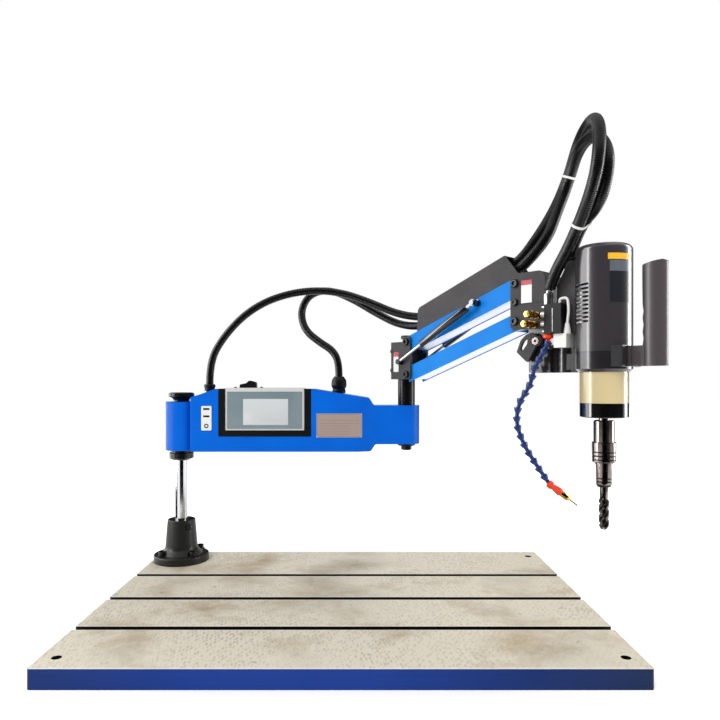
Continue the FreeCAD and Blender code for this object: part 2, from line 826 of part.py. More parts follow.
def link_bar(height, drop):
    """The aluminium tube in the mouth of a channel, with bored round ends."""
    half = link_half_width - link_sheet - seat
    bottom = height / 2 - drop - height + 1
    top = bottom + bar_height
    nose = min(bar_nose, link_tail + 8)
    low = -nose
    bar = side_prism([
        (low, low, 11), (link_length + nose, low, 11), (link_length + nose, nose, 11), (low, nose, 11),
    ], -half, half)
    trim = block((24, -half - 1, bottom - 30), (link_length - 24, half + 1, bottom))
    trim_top = block((24, -half - 1, top), (link_length - 24, half + 1, top + 40))
    straight = block((14, -half, bottom), (link_length - 14, half, top))
    body = bar.fuse(straight).removeSplitter()
    body = body.cut([trim, trim_top])
    bore = [rod(pin_radius + turning_fit, (s, -half - 1, 0), (s, half + 1, 0)) for s in (0.0, link_length)]
    core = block(
        (30, bar_wall - half, bottom + bar_wall), (link_length - 30, half - bar_wall, top - bar_wall)
    )
    return body.cut(bore + [core])


def links():
    for name, pivot, height, drop in (
        ("upper_link", upper_pivot, upper_link_height, upper_link_drop),
        ("lower_link", lower_pivot, lower_link_height, 0.0),
    ):
        frame = SECOND_ARM.multiply(link_frame(pivot))
        save(name + "_channel", link_channel(height, drop), frame)
        save(name + "_bar", link_bar(height, drop), frame)


def cable_cover():
    """Folded sheet over the conduits, open at both ends."""
    foot = upper_link_height / 2 - upper_link_drop + seat
    top = foot + cover_height
    slope = math.tan(math.radians(2.1))
    half = link_half_width
    side = [
        (37, foot), (359, foot), (364, foot + 7), (346, top + 290 * slope - 3, 2),
        (65, top + 2, 1), (58, top - 3, 1),
    ]
    t = cover_sheet
    outer = side_prism(side, -half, half)
    inside = [
        (0, foot - 1), (400, foot - 1), (400, top + 290 * slope - 3 - t + 54 * 0.04, 0),
        (65.5, top + 2 - t, 0), (58.5, top - 3 - t, 0), (0, top - 3 - t, 0),
    ]
    inner = side_prism(inside, t - half, half - t)
    save("cable_cover", outer.cut(inner), SECOND_ARM.multiply(link_frame(upper_pivot)))


# ------------------------------------------------------------------ gas springs
def gas_springs():
    """Cylinder upper end, rod lower end, one spring on each side of the links."""
    low = Vector(lower_stud[0], 0, lower_stud[1])
    high = Vector(upper_stud[0], 0, upper_stud[1])
    along = (low - high).normalize()
    length = (high - low).Length
    for name, side in (("front", -1), ("rear", 1)):
        plane = Vector(0, side * spring_offset, 0)
        start, end = high + plane, low + plane
        body = turned([
            (0, 14), (4.5, 14), (4.5, 20), (spring_radius, 22, 1.5),
            (spring_radius, 20 + cylinder_length, 3), (rod_radius + turning_fit, 20 + cylinder_length),
            (rod_radius + turning_fit, 42), (0, 42),
        ])
        body.Placement = Placement(start, Rotation(UP, along))
        eye_out = spring_offset + 6
        neck = rod(5, start, start + along * 18)
        inner_face = link_half_width + seat
        eye = cross_rod(spring_eye, high, side * (spring_offset - 7), side * eye_out)
        stud = cross_rod(stud_radius, high, side * inner_face, side * eye_out)
        collar = cross_rod(8.5, high, side * inner_face, side * (inner_face + 5))
        bolt = cross_rod(6, high, side * eye_out, side * (eye_out + 4))
        save(f"gas_cylinder_{name}", fused([body, eye, neck, stud, collar, bolt]), SECOND_ARM)
        shaft = rod(rod_radius, end - along * 6, start + along * 64)
        inner_face = fork_half_width + seat
        cup = cross_rod(7, low, side * (spring_offset - 6), side * (spring_offset + 6))
        stud = cross_rod(4, low, side * inner_face, side * spring_offset)
        foot = cross_rod(7.5, low, side * inner_face, side * (inner_face + 3))
        save(f"gas_rod_{name}", fused([shaft, cup, stud, foot]), SECOND_ARM)
    print(f"gas spring {length:.1f} mm between studs")


# ------------------------------------------------------------------ head
def head_knuckle():
    """Block with two ears back over the links' ends, parted by a clamp line."""
    half = fork_half_width
    ear_left = right_pivot_t - ear_reach
    upper = upper_pivot + right_pivot_rise
    lower = lower_pivot + right_pivot_rise
    side = [
        (ear_left, lower - 13, 8), (ear_left, upper + 13, 8), (ear_left + 10, knuckle_top, 6),
        (knuckle_right - 10, knuckle_top, 12), (knuckle_right, knuckle_top - 16, 8),
        (knuckle_right, knuckle_bottom, 2), (ear_left + 8, knuckle_bottom, 4),
    ]
    body = side_prism(side, -half, half)
    inside = half - fork_ear
    cutters = [block((0, -inside, 0), (knuckle_left, inside, 900))]
    for z in (upper, lower):
        cutters.append(rod(pin_radius + tight, (right_pivot_t, -60, z), (right_pivot_t, 60, z)))
    joint = (upper + lower) / 2 - 6
    for side_sign in (-1, 1):
        y0, y1 = sorted((side_sign * (half - 1.2), side_sign * (half + 1)))
        cutters.append(block((ear_left + 8, y0, joint), (knuckle_right + 1, y1, joint + 1.6)))
    line = block((knuckle_right - 1.2, -half - 1, joint), (knuckle_right + 1, half + 1, joint + 1.6))
    cutters.append(line)
    save("head_knuckle", body.cut(cutters), SECOND_ARM)


def head_pins():
    """The two pivots at the links' right ends and the clamp bolts between them."""
    upper = upper_pivot + right_pivot_rise
    lower = lower_pivot + right_pivot_rise
    pins = [pivot_pin(right_pivot_t, z) for z in (lower, upper)]
    reach = fork_half_width
    middle = (upper + lower) / 2
    for side in (-1, 1):
        start = (right_pivot_t, side * (reach + seat / 2), middle)
        end = (right_pivot_t, side * (reach + 10), middle)
        profile = [(0, 0), (8, 0), (8, 6, 1.5), (4.5, 6), (4, 3), (0, 3)]
        pins.append(turned_along(profile, start, end))
    save("head_pins", pins + [lever_screw()], SECOND_ARM)


def head_carrier():
    """Web under the knuckle, arm with a round boss, and the ring round the motor foot."""
    web = side_prism([
        (399, carrier_bottom, 2), (452, carrier_bottom), (452, carrier_top, 3),
        (knuckle_right, carrier_top + 8, 3), (knuckle_right, knuckle_bottom - seat / 2),
        (399, knuckle_bottom - seat / 2),
    ], -30, 30)
    boss = rod(24, (478, 0, carrier_bottom), (478, 0, carrier_top))
    arm = block((445, -17, carrier_bottom), (spindle_t - 30, 17, carrier_top))
    inner = gearbox_radius - 5 + tight
    collar = turned([
        (inner, carrier_bottom), (motor_radius - 6, carrier_bottom), (motor_radius, carrier_bottom + 6),
        (motor_radius, ring_top), (inner, ring_top),
    ], spindle_t)
    lugs = block(
        (spindle_t - motor_radius - 14, -26, carrier_bottom + 5), (spindle_t - 40, 26, ring_top - 3)
    )
    pad = block(
        (spindle_t + 33, -pad_half_width, carrier_bottom + 10),
        (spindle_t + pad_reach, pad_half_width, carrier_top),
    )
    body = fused([web, boss, arm, collar, lugs, pad])
    body = body.cut([
        rod(inner, (spindle_t, 0, 0), (spindle_t, 0, 900)),
        rod(motor_radius + seat, (spindle_t, 0, ring_top), (spindle_t, 0, 900)),
    ])
    save("head_carrier", body, SECOND_ARM)


def vent_cutters():
    """Two columns of slots through the motor cover."""
    cutters = []
    for side in (-1, 1):
        turn = Rotation(UP, 180 + side * vent_bearing)
        for i in range(vent_count):
            z = vent_first + i * vent_pitch
            slot = block((30, -vent_chord / 2, z), (motor_radius + 2, vent_chord / 2, z + vent_height))
            slot.Placement = Placement(Vector(spindle_t, 0, 0), turn)
            cutters.append(slot)
    return cutters


def motor():
    """Vented cover over the servo motor."""
    low = ring_top + seat
    r, w = motor_radius, motor_wall
    cover = turned([
        (r - w, low), (r, low), (r, motor_top - 9, 12), (0, motor_top), (0, motor_top - w),
        (r - w, motor_top - 9 - w, 9),
    ], spindle_t)
    cover = cover.cut(vent_cutters())
    save("motor_cover", cover, SECOND_ARM)
    body = turned([
        (0, ring_top + seat), (46, ring_top + seat), (46, ring_top + 12), (40, ring_top + 14),
        (40, motor_top - 40, 3), (12, motor_top - 38), (12, motor_top - 28), (0, motor_top - 28),
    ], spindle_t)
    save("servo_motor", body, SECOND_ARM)


def gearbox():
    """Pale gearbox barrel hung in the carrier ring, black nose ring and its bearing."""
    r = gearbox_radius
    low = nose_ring_bottom
    inner = spindle_radius + 4
    barrel = turned([
        (inner, gearbox_bottom), (r, gearbox_bottom), (r, carrier_bottom - seat),
        (r - 5, carrier_bottom - seat), (r - 5, ring_top), (0, ring_top), (0, gearbox_bottom + 52),
        (inner, gearbox_bottom + 52),
    ], spindle_t)
    save("gearbox_barrel", barrel, SECOND_ARM)
    bearing_r = 26.0
    nose = turned([
        (spindle_radius + 2, low), (r - 1.5, low), (r, low + 1.5), (r, gearbox_bottom - seat),
        (bearing_r + tight, gearbox_bottom - seat), (bearing_r + tight, low + 8),
        (spindle_radius + 2, low + 8),
    ], spindle_t)
    save("nose_ring", nose, SECOND_ARM)
    inner = spindle_radius + turning_fit
    bearing = ring(bearing_r, inner, low + 8 + seat, gearbox_bottom - 2, spindle_t)
    save("spindle_bearing", bearing, SECOND_ARM)


def terminal_box():
    """Grey box on the back of the motor with a cut upper corner."""
    half = 25.0
    box = side_prism([
        (466, valve_bottom), (540, valve_bottom), (540, 745), (492, 745, 3), (466, 695, 4),
    ], -half, half)
    box = box.cut(rod(motor_radius + tight, (spindle_t, 0, 0), (spindle_t, 0, 900)))
    reach = 30
    gland = conduit_socket(loop_conduit_lower, reach)
    end = Vector(*loop_conduit_lower[-1])
    onward = (end - Vector(*loop_conduit_lower[-2])).normalize()
    near, far = end + onward * (reach / 2), end + onward * (reach - 2)
    saddle = side_prism(
        [(near.x, near.z), (far.x, far.z), (far.x + 13, far.z - 7), (near.x + 13, near.z - 7)], -13, 6
    )
    save("terminal_box", fused([box, gland, saddle]), SECOND_ARM)


def conduit_socket(points, depth):
    """A round fitting in line with a conduit's end, which seats on its face."""
    end = Vector(*points[-1])
    back = (end - Vector(*points[-2])).normalize() * depth
    r = loop_conduit_radius
    profile = [
        (0, 0), (r - 3, 0), (r - 3, depth - 14), (r, depth - 12, 1), (r, depth - 9), (r + 1.5, depth - 8),
        (r + 1.5, depth - 1), (r + 0.5, depth), (0, depth),
    ]
    return turned_along(profile, end + back, end)


def pneumatics():
    """Solenoid valve, its fittings, the white base block and a short air tube."""
    front = -52.0
    back = -25.0 - seat
    low, high = valve_bottom, valve_bottom + valve_height
    left, right = valve_left, valve_left + valve_width
    body = block((left, front, low), (right, back, high))
    middle = (left + right) / 2
    seam = block((middle - 0.6, front - 1, low - 1), (middle + 0.6, front + 1, high + 1))
    lid = block((left + 2, front + 2, high), (right - 2, back - 1, high + 2))
    save("solenoid_valve", body.cut(seam).fuse(lid).removeSplitter(), SECOND_ARM)
    base = block((right - 20, -46, carrier_top), (right + 9, 28, low - seat))
    neck = turned(
        [(0, low - 1), (7.5, low - 1), (7.5, low + 4), (4.5, low + 22), (0, low + 22)], right + 7.5, -38
    )
    base = base.fuse(neck)
    base = base.cut([
        rod(motor_radius + 1, (spindle_t, 0, 0), (spindle_t, 0, 900)),
        block((left, front - 1, low - seat), (right + seat, back + 1, high)),
        block((left, -25 - seat, low - seat), (right + 40, 60, high)),
    ])
    foot = high + 2
    post = turned([
        (0, foot), (10, foot), (10, foot + 22), (9, foot + 23), (5, foot + 23), (5, foot + 32),
        (0, foot + 32),
    ], left + 4.5, -41)
    end = Vector(*loop_conduit_upper[-1])
    back = (end - Vector(*loop_conduit_upper[-2])).normalize() * 8
    cap = turned_along([(0, 0), (9, 0), (12, 3), (12, 8), (0, 8)], end + back, end)
    ports = [
        rod(radius, (left - reach, -45, low + z), (left - seat, -45, low + z))
        for z, radius, reach in ((59, 3.5, 7), (43, 7, 9), (23, 6.5, 9), (6.5, 3.5, 7))
    ]
    tube = bent_tube(air_tube, 3.0)
    save("air_fittings", [base, fused([post, cap]), tube] + ports, SECOND_ARM)


def needle_valves():
    """Two brass needle valves on the knuckle, each with its own knob."""
    face = -fork_half_width - seat / 2
    end, far = valve_body_end, valve_knob_end
    bodies = []
    for name, t, z in valve_knobs:
        bodies.append(turned_along(
            [
                (0, 0), (7.8, 0), (7.8, 8), (6.2, 9), (6.2, end - 10), (7.8, end - 9), (7.8, end),
                (3, end), (3, 14), (0, 14),
            ],
            (t, face, z), (t, face - 1, z),
        ))
        knob = turned_along(
            [
                (0, 14.5), (3 - turning_fit, 14.5), (3 - turning_fit, end + seat), (6.8, end + seat),
                (7.5, end + 3), (7.5, far - 2), (6.5, far - 0.5), (0, far),
            ],
            (t, face, z), (t, face - 1, z),
        )
        for i in range(8):
            angle = i * math.pi / 4
            x, up = t + 8.2 * math.cos(angle), z + 8.2 * math.sin(angle)
            knob = knob.cut(rod(1.4, (x, face - far - 5, up), (x, face - end - 1, up)))
        save(f"needle_knob_{name}", knob, SECOND_ARM)
    save("needle_valve_bodies", bodies, SECOND_ARM)


def lever_screw():
    """The shouldered screw that the clamp lever turns on."""
    t, z = lever_hub
    shoulder = 8 + 2 * seat + lever_far - lever_near
    profile = [
        (3, 2.5), (3, 0), (8, 0), (8, 5), (5, 5), (5, shoulder), (10, shoulder),
        (10, shoulder + 7), (0, shoulder + 7), (0, 2.5),
    ]
    return turned_along(profile, (t, lever_near - 3 - seat - 5, z), (t, 0, z))


def clamp_lever():
    """Loop-shaped lever on a hub, in front of the carrier web."""
    t, z = lever_hub
    near, far = lever_near, lever_far
    loop = side_prism([
        (t - 13, z + 20, 3), (t - 27, z + 16.5, 14), (t - 41.5, z + 4, 20), (t - 52, z - 22.5, 4),
        (t - 24, z - 47.5, 4), (t - 20, z - 39, 3), (t - 2, z - 9, 3), (t - 2, z + 12, 3),
    ], near, far)
    hole = side_prism([
        (t - 27, z + 8, 3), (t - 24, z + 4, 2.6), (t - 25, z - 5, 5), (t - 36, z - 19, 2),
        (t - 41, z - 19.5, 2), (t - 42.5, z - 13, 5), (t - 36, z, 10),
    ], near - 1, far + 1)
    hub = rod(11, (t, near - 3, z), (t, far, z))
    bore = rod(5 + turning_fit, (t, near - 5, z), (t, 0, z))
    save("clamp_lever", fused([loop, hub]).cut([hole, bore]), SECOND_ARM)


def handle():
    """Upright grip on a flat arm from the carrier's pad."""
    t0 = spindle_t + pad_reach + seat
    grip_t = spindle_t + grip_reach
    arm_top_z = carrier_top - 1
    inner = grip_t - grip_half_length
    outer = grip_t + grip_half_length
    arm = block((t0, -14, grip_bottom), (grip_t, 14, arm_top_z))
    foot = block((t0, -20, grip_bottom), (t0 + 6, 20, arm_top_z))
    grooves_low = grip_bottom + 0.20 * (grip_top - grip_bottom)
    groove_pitch = (grip_top - grip_bottom) / 15
    shape = [
        (inner, grip_bottom, 2), (outer, grip_bottom, 4), (outer, grip_top + 4, 5), (inner, grip_top - 4, 5),
    ]
    for i in range(groove_count):
        high = grooves_low + (2 * (groove_count - i)) * groove_pitch
        shape += [(inner + groove_depth / 2, high, 10), (inner + groove_depth, high - groove_pitch, 10)]
    shape += [(inner + groove_depth / 2, grooves_low), (inner, grooves_low)]
    side = side_prism(shape, -60, 60)
    section = Part.Ellipse(Vector(grip_t, 0, 0), grip_half_length + 0.5, grip_half_width).toShape()
    barrel = Part.Face(Part.Wire(section)).extrude(Vector(0, 0, 900))
    grip = side.common(barrel)
    pocket = rod(button_radius + seat, (grip_t + 4, 0, grip_top - 12), (grip_t + 4, 0, grip_top + 30))
    grip = fused([grip, arm, foot])
    save("handle", grip.cut(pocket), SECOND_ARM)
    button = turned([
        (0, grip_top - 9), (button_radius, grip_top - 9), (button_radius, grip_top + 3.5, 2),
        (0, grip_top + 4),
    ], grip_t + 4)
    save("thumb_button", button, SECOND_ARM)


# ------------------------------------------------------------------ spindle and tool
def spindle_and_chuck():
    shaft = turned([
        (0, 365), (9, 365), (9, chuck_top), (spindle_radius, chuck_top),
        (spindle_radius, gearbox_bottom + 44), (0, gearbox_bottom + 44),
    ], spindle_t)
    save("spindle", shaft, SECOND_ARM)
    slide = chuck_radius
    body = turned([
        (9 + tight, 365), (9 + tight, chuck_top), (slide - 2, chuck_top), (slide, chuck_top - 2),
        (slide, sleeve_top - 26), (slide - 3, sleeve_top - 28), (slide - 3, sleeve_bottom - 4),
        (12 + tight, sleeve_bottom - 4), (12 + tight, 362), (0, 362), (0, 365),
    ], spindle_t)
    save("chuck_body", body, SECOND_ARM)
    inner = slide + turning_fit
    groove = 1.4
    profile = [
        (inner, sleeve_bottom), (sleeve_radius - 2, sleeve_bottom), (sleeve_radius, sleeve_bottom + 2),
    ]
    for z in (sleeve_bottom + 4.5, sleeve_bottom + 12.5, sleeve_bottom + 20.5):
        profile += [
            (sleeve_radius, z), (sleeve_radius - groove, z), (sleeve_radius - groove, z + 3),
            (sleeve_radius, z + 3),
        ]
    profile += [(sleeve_radius, sleeve_top - 1), (sleeve_radius - 1, sleeve_top), (inner, sleeve_top)]
    save("chuck_sleeve", turned(profile, spindle_t), SECOND_ARM)
    r = collet_radius
    collet = turned([
        (shank_radius + tight, collet_bottom), (r - 3, collet_bottom, 1), (r, collet_bottom + 6),
        (r, collet_bottom + 10), (r - 1.5, collet_bottom + 10), (r - 1.5, collet_bottom + 13),
        (r, collet_bottom + 13), (r, collet_bottom + 17), (r - 1.5, collet_bottom + 17),
        (r - 1.5, collet_bottom + 20), (r, collet_bottom + 20), (r, sleeve_bottom - 4 - seat),
        (12, sleeve_bottom - 4 - seat), (12, 360), (shank_radius + tight, 360),
    ], spindle_t)
    save("tap_collet", collet, SECOND_ARM)


def flute_cutter(angle):
    """One spiral gash, swept up the tap's body."""
    helix = Part.makeHelix(flute_lead, flute_top - tap_tip + 6, flute_centre)
    section = Part.makeCircle(flute_gash, Vector(flute_centre, 0, 0), Vector(0, 1, 0.45))
    sweep = Part.Wire(helix).makePipeShell([Part.Wire(section)], True, True)
    turn = Rotation(UP, angle)
    sweep.Placement = Placement(Vector(spindle_t, 0, tap_tip - 3), turn)
    return sweep


def tap():
    """Shank and a spiral-fluted body with a short lead taper."""
    body = turned([
        (0, tap_tip), (flute_radius - 4, tap_tip), (flute_radius, tap_tip + 8),
        (flute_radius, flute_top - 4), (shank_radius, flute_top), (shank_radius, 355), (0, 355),
    ], spindle_t)
    for i in range(flute_count):
        body = body.cut(flute_cutter(i * 360 / flute_count))
    save("tap", body, SECOND_ARM)


# ------------------------------------------------------------------ routes
def route(points):
    """A wire of straight runs joined by tangent arcs, and its tightest radius."""
    points = [Vector(*p) for p in points]
    edges = []
    start = points[0]
    tightest = math.inf
    for before, corner, after in zip(points, points[1:], points[2:]):
        trim = 0.45 * min((before - corner).Length, (after - corner).Length)
        a, middle, b, radius = corner_arc(before, corner, after, trim)
        tightest = min(tightest, radius)
        edges.append(Part.LineSegment(start, a).toShape())
        edges.append(Part.Arc(a, middle, b).toShape())
        start = b
    edges.append(Part.LineSegment(start, points[-1]).toShape())
    return Part.Wire(edges), tightest


def bent_tube(points, radius):
    """A round tube along a route."""
    path, _ = route(points)
    points = [Vector(*p) for p in points]
    section = Part.Wire(Part.Circle(points[0], points[1] - points[0], radius).toShape())
    return path.makePipeShell([section], True, True)


def cord(name, points, radius, frame):
    path, tightest = route(points)
    tube = bent_tube(points, radius)
    expected = math.pi * radius ** 2 * path.Length
    save(name, tube, frame)
    print(
        f"  {name}: length {path.Length:.0f}, tightest radius {tightest:.0f}, "
        f"volume over section times length {tube.Volume / expected:.4f}"
    )


def conduits():
    for name, points, radius, frame in (
        ("elbow_conduit_upper", elbow_conduit_upper, elbow_conduit_radius, BENCH),
        ("elbow_conduit_lower", elbow_conduit_lower, elbow_conduit_radius, BENCH),
        ("loop_conduit_upper", loop_conduit_upper, loop_conduit_radius, SECOND_ARM),
        ("loop_conduit_lower", loop_conduit_lower, loop_conduit_radius, SECOND_ARM),
    ):
        cord(name, points, radius, frame)


def hose_point(q, drop):
    """A point in the hose's plane: q towards the tap, and up or down from its seat."""
    t, v, z = hose_seat
    return Vector(t + q * hose_aim[0], v + q * hose_aim[1], z + drop)


def ball_end(length):
    """The end of a hose link's wire: its neck, then the ball about the given length."""
    low = length - math.sqrt(ball_radius ** 2 - hose_neck ** 2)
    neck = Vector(hose_neck, 0, low)
    cut = Vector(ball_radius * 0.5, 0, length + ball_radius * math.sqrt(0.75))
    arc = Part.Arc(neck, Vector(ball_radius, 0, length), cut).toShape()
    tip = Vector(0, 0, cut.z)
    return neck, [arc, Part.LineSegment(cut, tip).toShape()], tip


def ball_ended(corners, length):
    """A turned form of straight (radius, height) corners that ends in a ball."""
    neck, edges, tip = ball_end(length)
    points = [Vector(r, 0, z) for r, z in corners] + [neck]
    edges = [Part.LineSegment(a, b).toShape() for a, b in zip(points, points[1:])] + edges
    edges.append(Part.LineSegment(tip, points[0]).toShape())
    return Part.Face(Part.Wire(edges)).revolve(Vector(0, 0, 0), UP, 360)


def hose_segment(start, end):
    """One link of the hose: a flared socket over the last ball, a waist and its own ball."""
    link = ball_ended([
        (0, socket_depth + 0.4), (socket_radius, socket_depth - 1), (socket_radius, -2.4),
        (hose_radius, -3), (hose_radius, 0), (hose_radius - 1.6, 5), (hose_neck, 9.5),
    ], (end - start).Length)
    link.Placement = Placement(start, Rotation(UP, end - start))
    return link


def coolant_hose():
    points = [tuple(hose_point(q, drop)) for q, drop in hose_line]
    path, _ = route(points)
    count = int(path.Length // hose_pitch)
    nodes = path.discretize(count + 1)
    top = valve_bottom - seat - hose_seat[2]
    seat_block = ball_ended(
        [(0, 0), (10.5, 0), (11.5, 2), (11.5, top - 10), (hose_neck + 2, top - 8), (hose_neck, top - 6)], top
    )
    seat_block.Placement = Placement(nodes[0] + Vector(0, 0, top), Rotation(UP, Vector(0, 0, -1)))
    save("hose_seat", seat_block, SECOND_ARM)
    segments = [hose_segment(a, b) for a, b in zip(nodes, nodes[1:])]
    half = count // 2
    save("hose_upper_run", segments[:half], SECOND_ARM)
    save("hose_lower_run", segments[half:], SECOND_ARM)
    start, end = nodes[-1], hose_point(*nozzle_end)
    aim = (end - start).normalize()
    body = turned_along(
        [
            (0, socket_depth + 0.4), (socket_radius, socket_depth - 1), (socket_radius, -2.4), (8.8, -3),
            (8.8, 6), (6.2, 10), (7.8, 18), (8.6, nozzle_body - 6), (6.5, nozzle_body), (0, nozzle_body),
        ],
        start, end,
    )
    tip = start + aim * nozzle_body
    brass = turned_along(
        [(0, 0), (6.8, 0), (6.8, 14), (3, 20), (1.5, 21), (1.5, 40), (0, 40)], tip, end
    )
    save("coolant_nozzle", [body, brass], SECOND_ARM)
    print(f"coolant hose {path.Length:.0f} mm in {count} links, split after {half}")
    print("hose split at", [round(v, 1) for v in nodes[half]], "end", [round(v, 1) for v in nodes[-1]])


# ------------------------------------------------------------------ build
def build():
    os.makedirs("parts", exist_ok=True)
    bed_plate()
    column_foot()
    foot_fasteners()
    column()
    column_collar()
    column_cap()
    first_arm_housing()
    first_arm_back_plate()
    arm_bearings()
    screen_console()
    power_rocker()
    port_panel()
    servo_drive()
    conduit_glands()
    elbow_post()
    elbow_lock_nut()
    elbow_fork()
    elbow_pins()
    links()
    cable_cover()
    gas_springs()
    head_knuckle()
    head_pins()
    head_carrier()
    motor()
    gearbox()
    terminal_box()
    pneumatics()
    needle_valves()
    clamp_lever()
    handle()
    spindle_and_chuck()
    tap()
    coolant_hose()
    conduits()


build()
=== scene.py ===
"""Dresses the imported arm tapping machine: finishes, conduits, plates, floor, lamps and camera."""
from __future__ import annotations

import logging
import math
from dataclasses import dataclass, field
from enum import Enum
from typing import Any, Callable, Mapping, Sequence

import bmesh
import bpy
from mathutils import Matrix, Vector


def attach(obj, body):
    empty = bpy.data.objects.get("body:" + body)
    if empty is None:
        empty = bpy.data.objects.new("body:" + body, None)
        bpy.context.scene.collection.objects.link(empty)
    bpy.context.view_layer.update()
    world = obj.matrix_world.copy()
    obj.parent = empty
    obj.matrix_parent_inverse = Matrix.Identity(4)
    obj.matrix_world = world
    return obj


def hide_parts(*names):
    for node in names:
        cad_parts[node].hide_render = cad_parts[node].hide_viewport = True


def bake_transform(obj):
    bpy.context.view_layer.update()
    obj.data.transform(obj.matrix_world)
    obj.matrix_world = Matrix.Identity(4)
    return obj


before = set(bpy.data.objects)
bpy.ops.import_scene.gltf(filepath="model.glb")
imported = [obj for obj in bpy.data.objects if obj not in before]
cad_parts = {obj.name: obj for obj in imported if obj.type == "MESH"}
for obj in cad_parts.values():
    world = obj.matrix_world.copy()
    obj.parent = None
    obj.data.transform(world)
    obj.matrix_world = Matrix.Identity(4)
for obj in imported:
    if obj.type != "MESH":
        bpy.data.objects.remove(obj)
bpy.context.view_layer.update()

log = logging.getLogger("arm_tapping_machine")

MM = 0.001
BENCH = Matrix.Translation((0, 0, 0.036)) @ Matrix.Scale(MM, 4)
ELBOW_YAW = math.radians(-46.5)
LINK_RISE = math.radians(-19.4)
SECOND_ARM = (
    Matrix.Translation((0.615, 0, 0.036)) @ Matrix.Rotation(ELBOW_YAW, 4, "Z") @ Matrix.Scale(MM, 4)
)
UPPER_LINK = SECOND_ARM @ Matrix.Translation((34, 0, 592)) @ Matrix.Rotation(LINK_RISE, 4, "Y")
SPINDLE_REACH = 559.9
SPINDLE = SECOND_ARM @ Matrix.Translation((SPINDLE_REACH, 0, 0))
SPINDLE_SQUARE = Matrix.Translation(SPINDLE.translation) @ Matrix.Scale(MM, 4)

Point = Sequence[float]


def linear(colour: str) -> tuple[float, float, float, float]:
    """Turns an sRGB hex colour to linear light.

    Args:
        colour: Six hex digits after a hash.

    Returns:
        Red, green, blue and a full alpha.
    """
    channels = [int(colour[i:i + 2], 16) / 255 for i in (1, 3, 5)]
    light = [c / 12.92 if c <= 0.04045 else ((c + 0.055) / 1.055) ** 2.4 for c in channels]
    return (light[0], light[1], light[2], 1.0)


def add_node(
    tree: bpy.types.NodeTree,
    kind: str,
    settings: Mapping[str | int, Any] | None = None,
    links: Mapping[str | int, bpy.types.NodeSocket] | None = None,
) -> bpy.types.Node:
    """Adds one shader node.

    Args:
        tree: The material's or world's tree.
        kind: The node's type without its ShaderNode prefix.
        settings: Properties by name, and inputs by name or number.
        links: Output sockets that feed inputs, by name or number.

    Returns:
        The new node.
    """
    made = tree.nodes.new("ShaderNode" + kind)
    for key, value in (settings or {}).items():
        if isinstance(key, str) and hasattr(made, key):
            setattr(made, key, value)
        else:
            made.inputs[key].default_value = value
    for key, socket in (links or {}).items():
        tree.links.new(socket, made.inputs[key])
    return made


# --------------------------------------------------------------------------- finishes
class Along(Enum):
    """The way that a machined or brushed surface's marks run."""

    X = (0.03, 1.0, 1.0)
    Z = (1.0, 1.0, 0.03)
    ROUND_Z = (0.03, 0.03, 1.0)


@dataclass(frozen=True)
class Grain:
    """Small relief, with its size and depth in millimetres."""

    size: float
    depth: float
    detail: float = 2.0


@dataclass(frozen=True)
class Mottle:
    """A second colour that comes and goes slowly over a surface."""

    size: float
    colour: str
    share: float = 0.5
    hardness: float = 0.3


@dataclass(frozen=True)
class Marks:
    """Fine brushed or turned marks, a millimetre size apart, that change the gloss."""

    along: Along
    size: float
    gloss_change: float = 0.12
    depth: float = 0.004


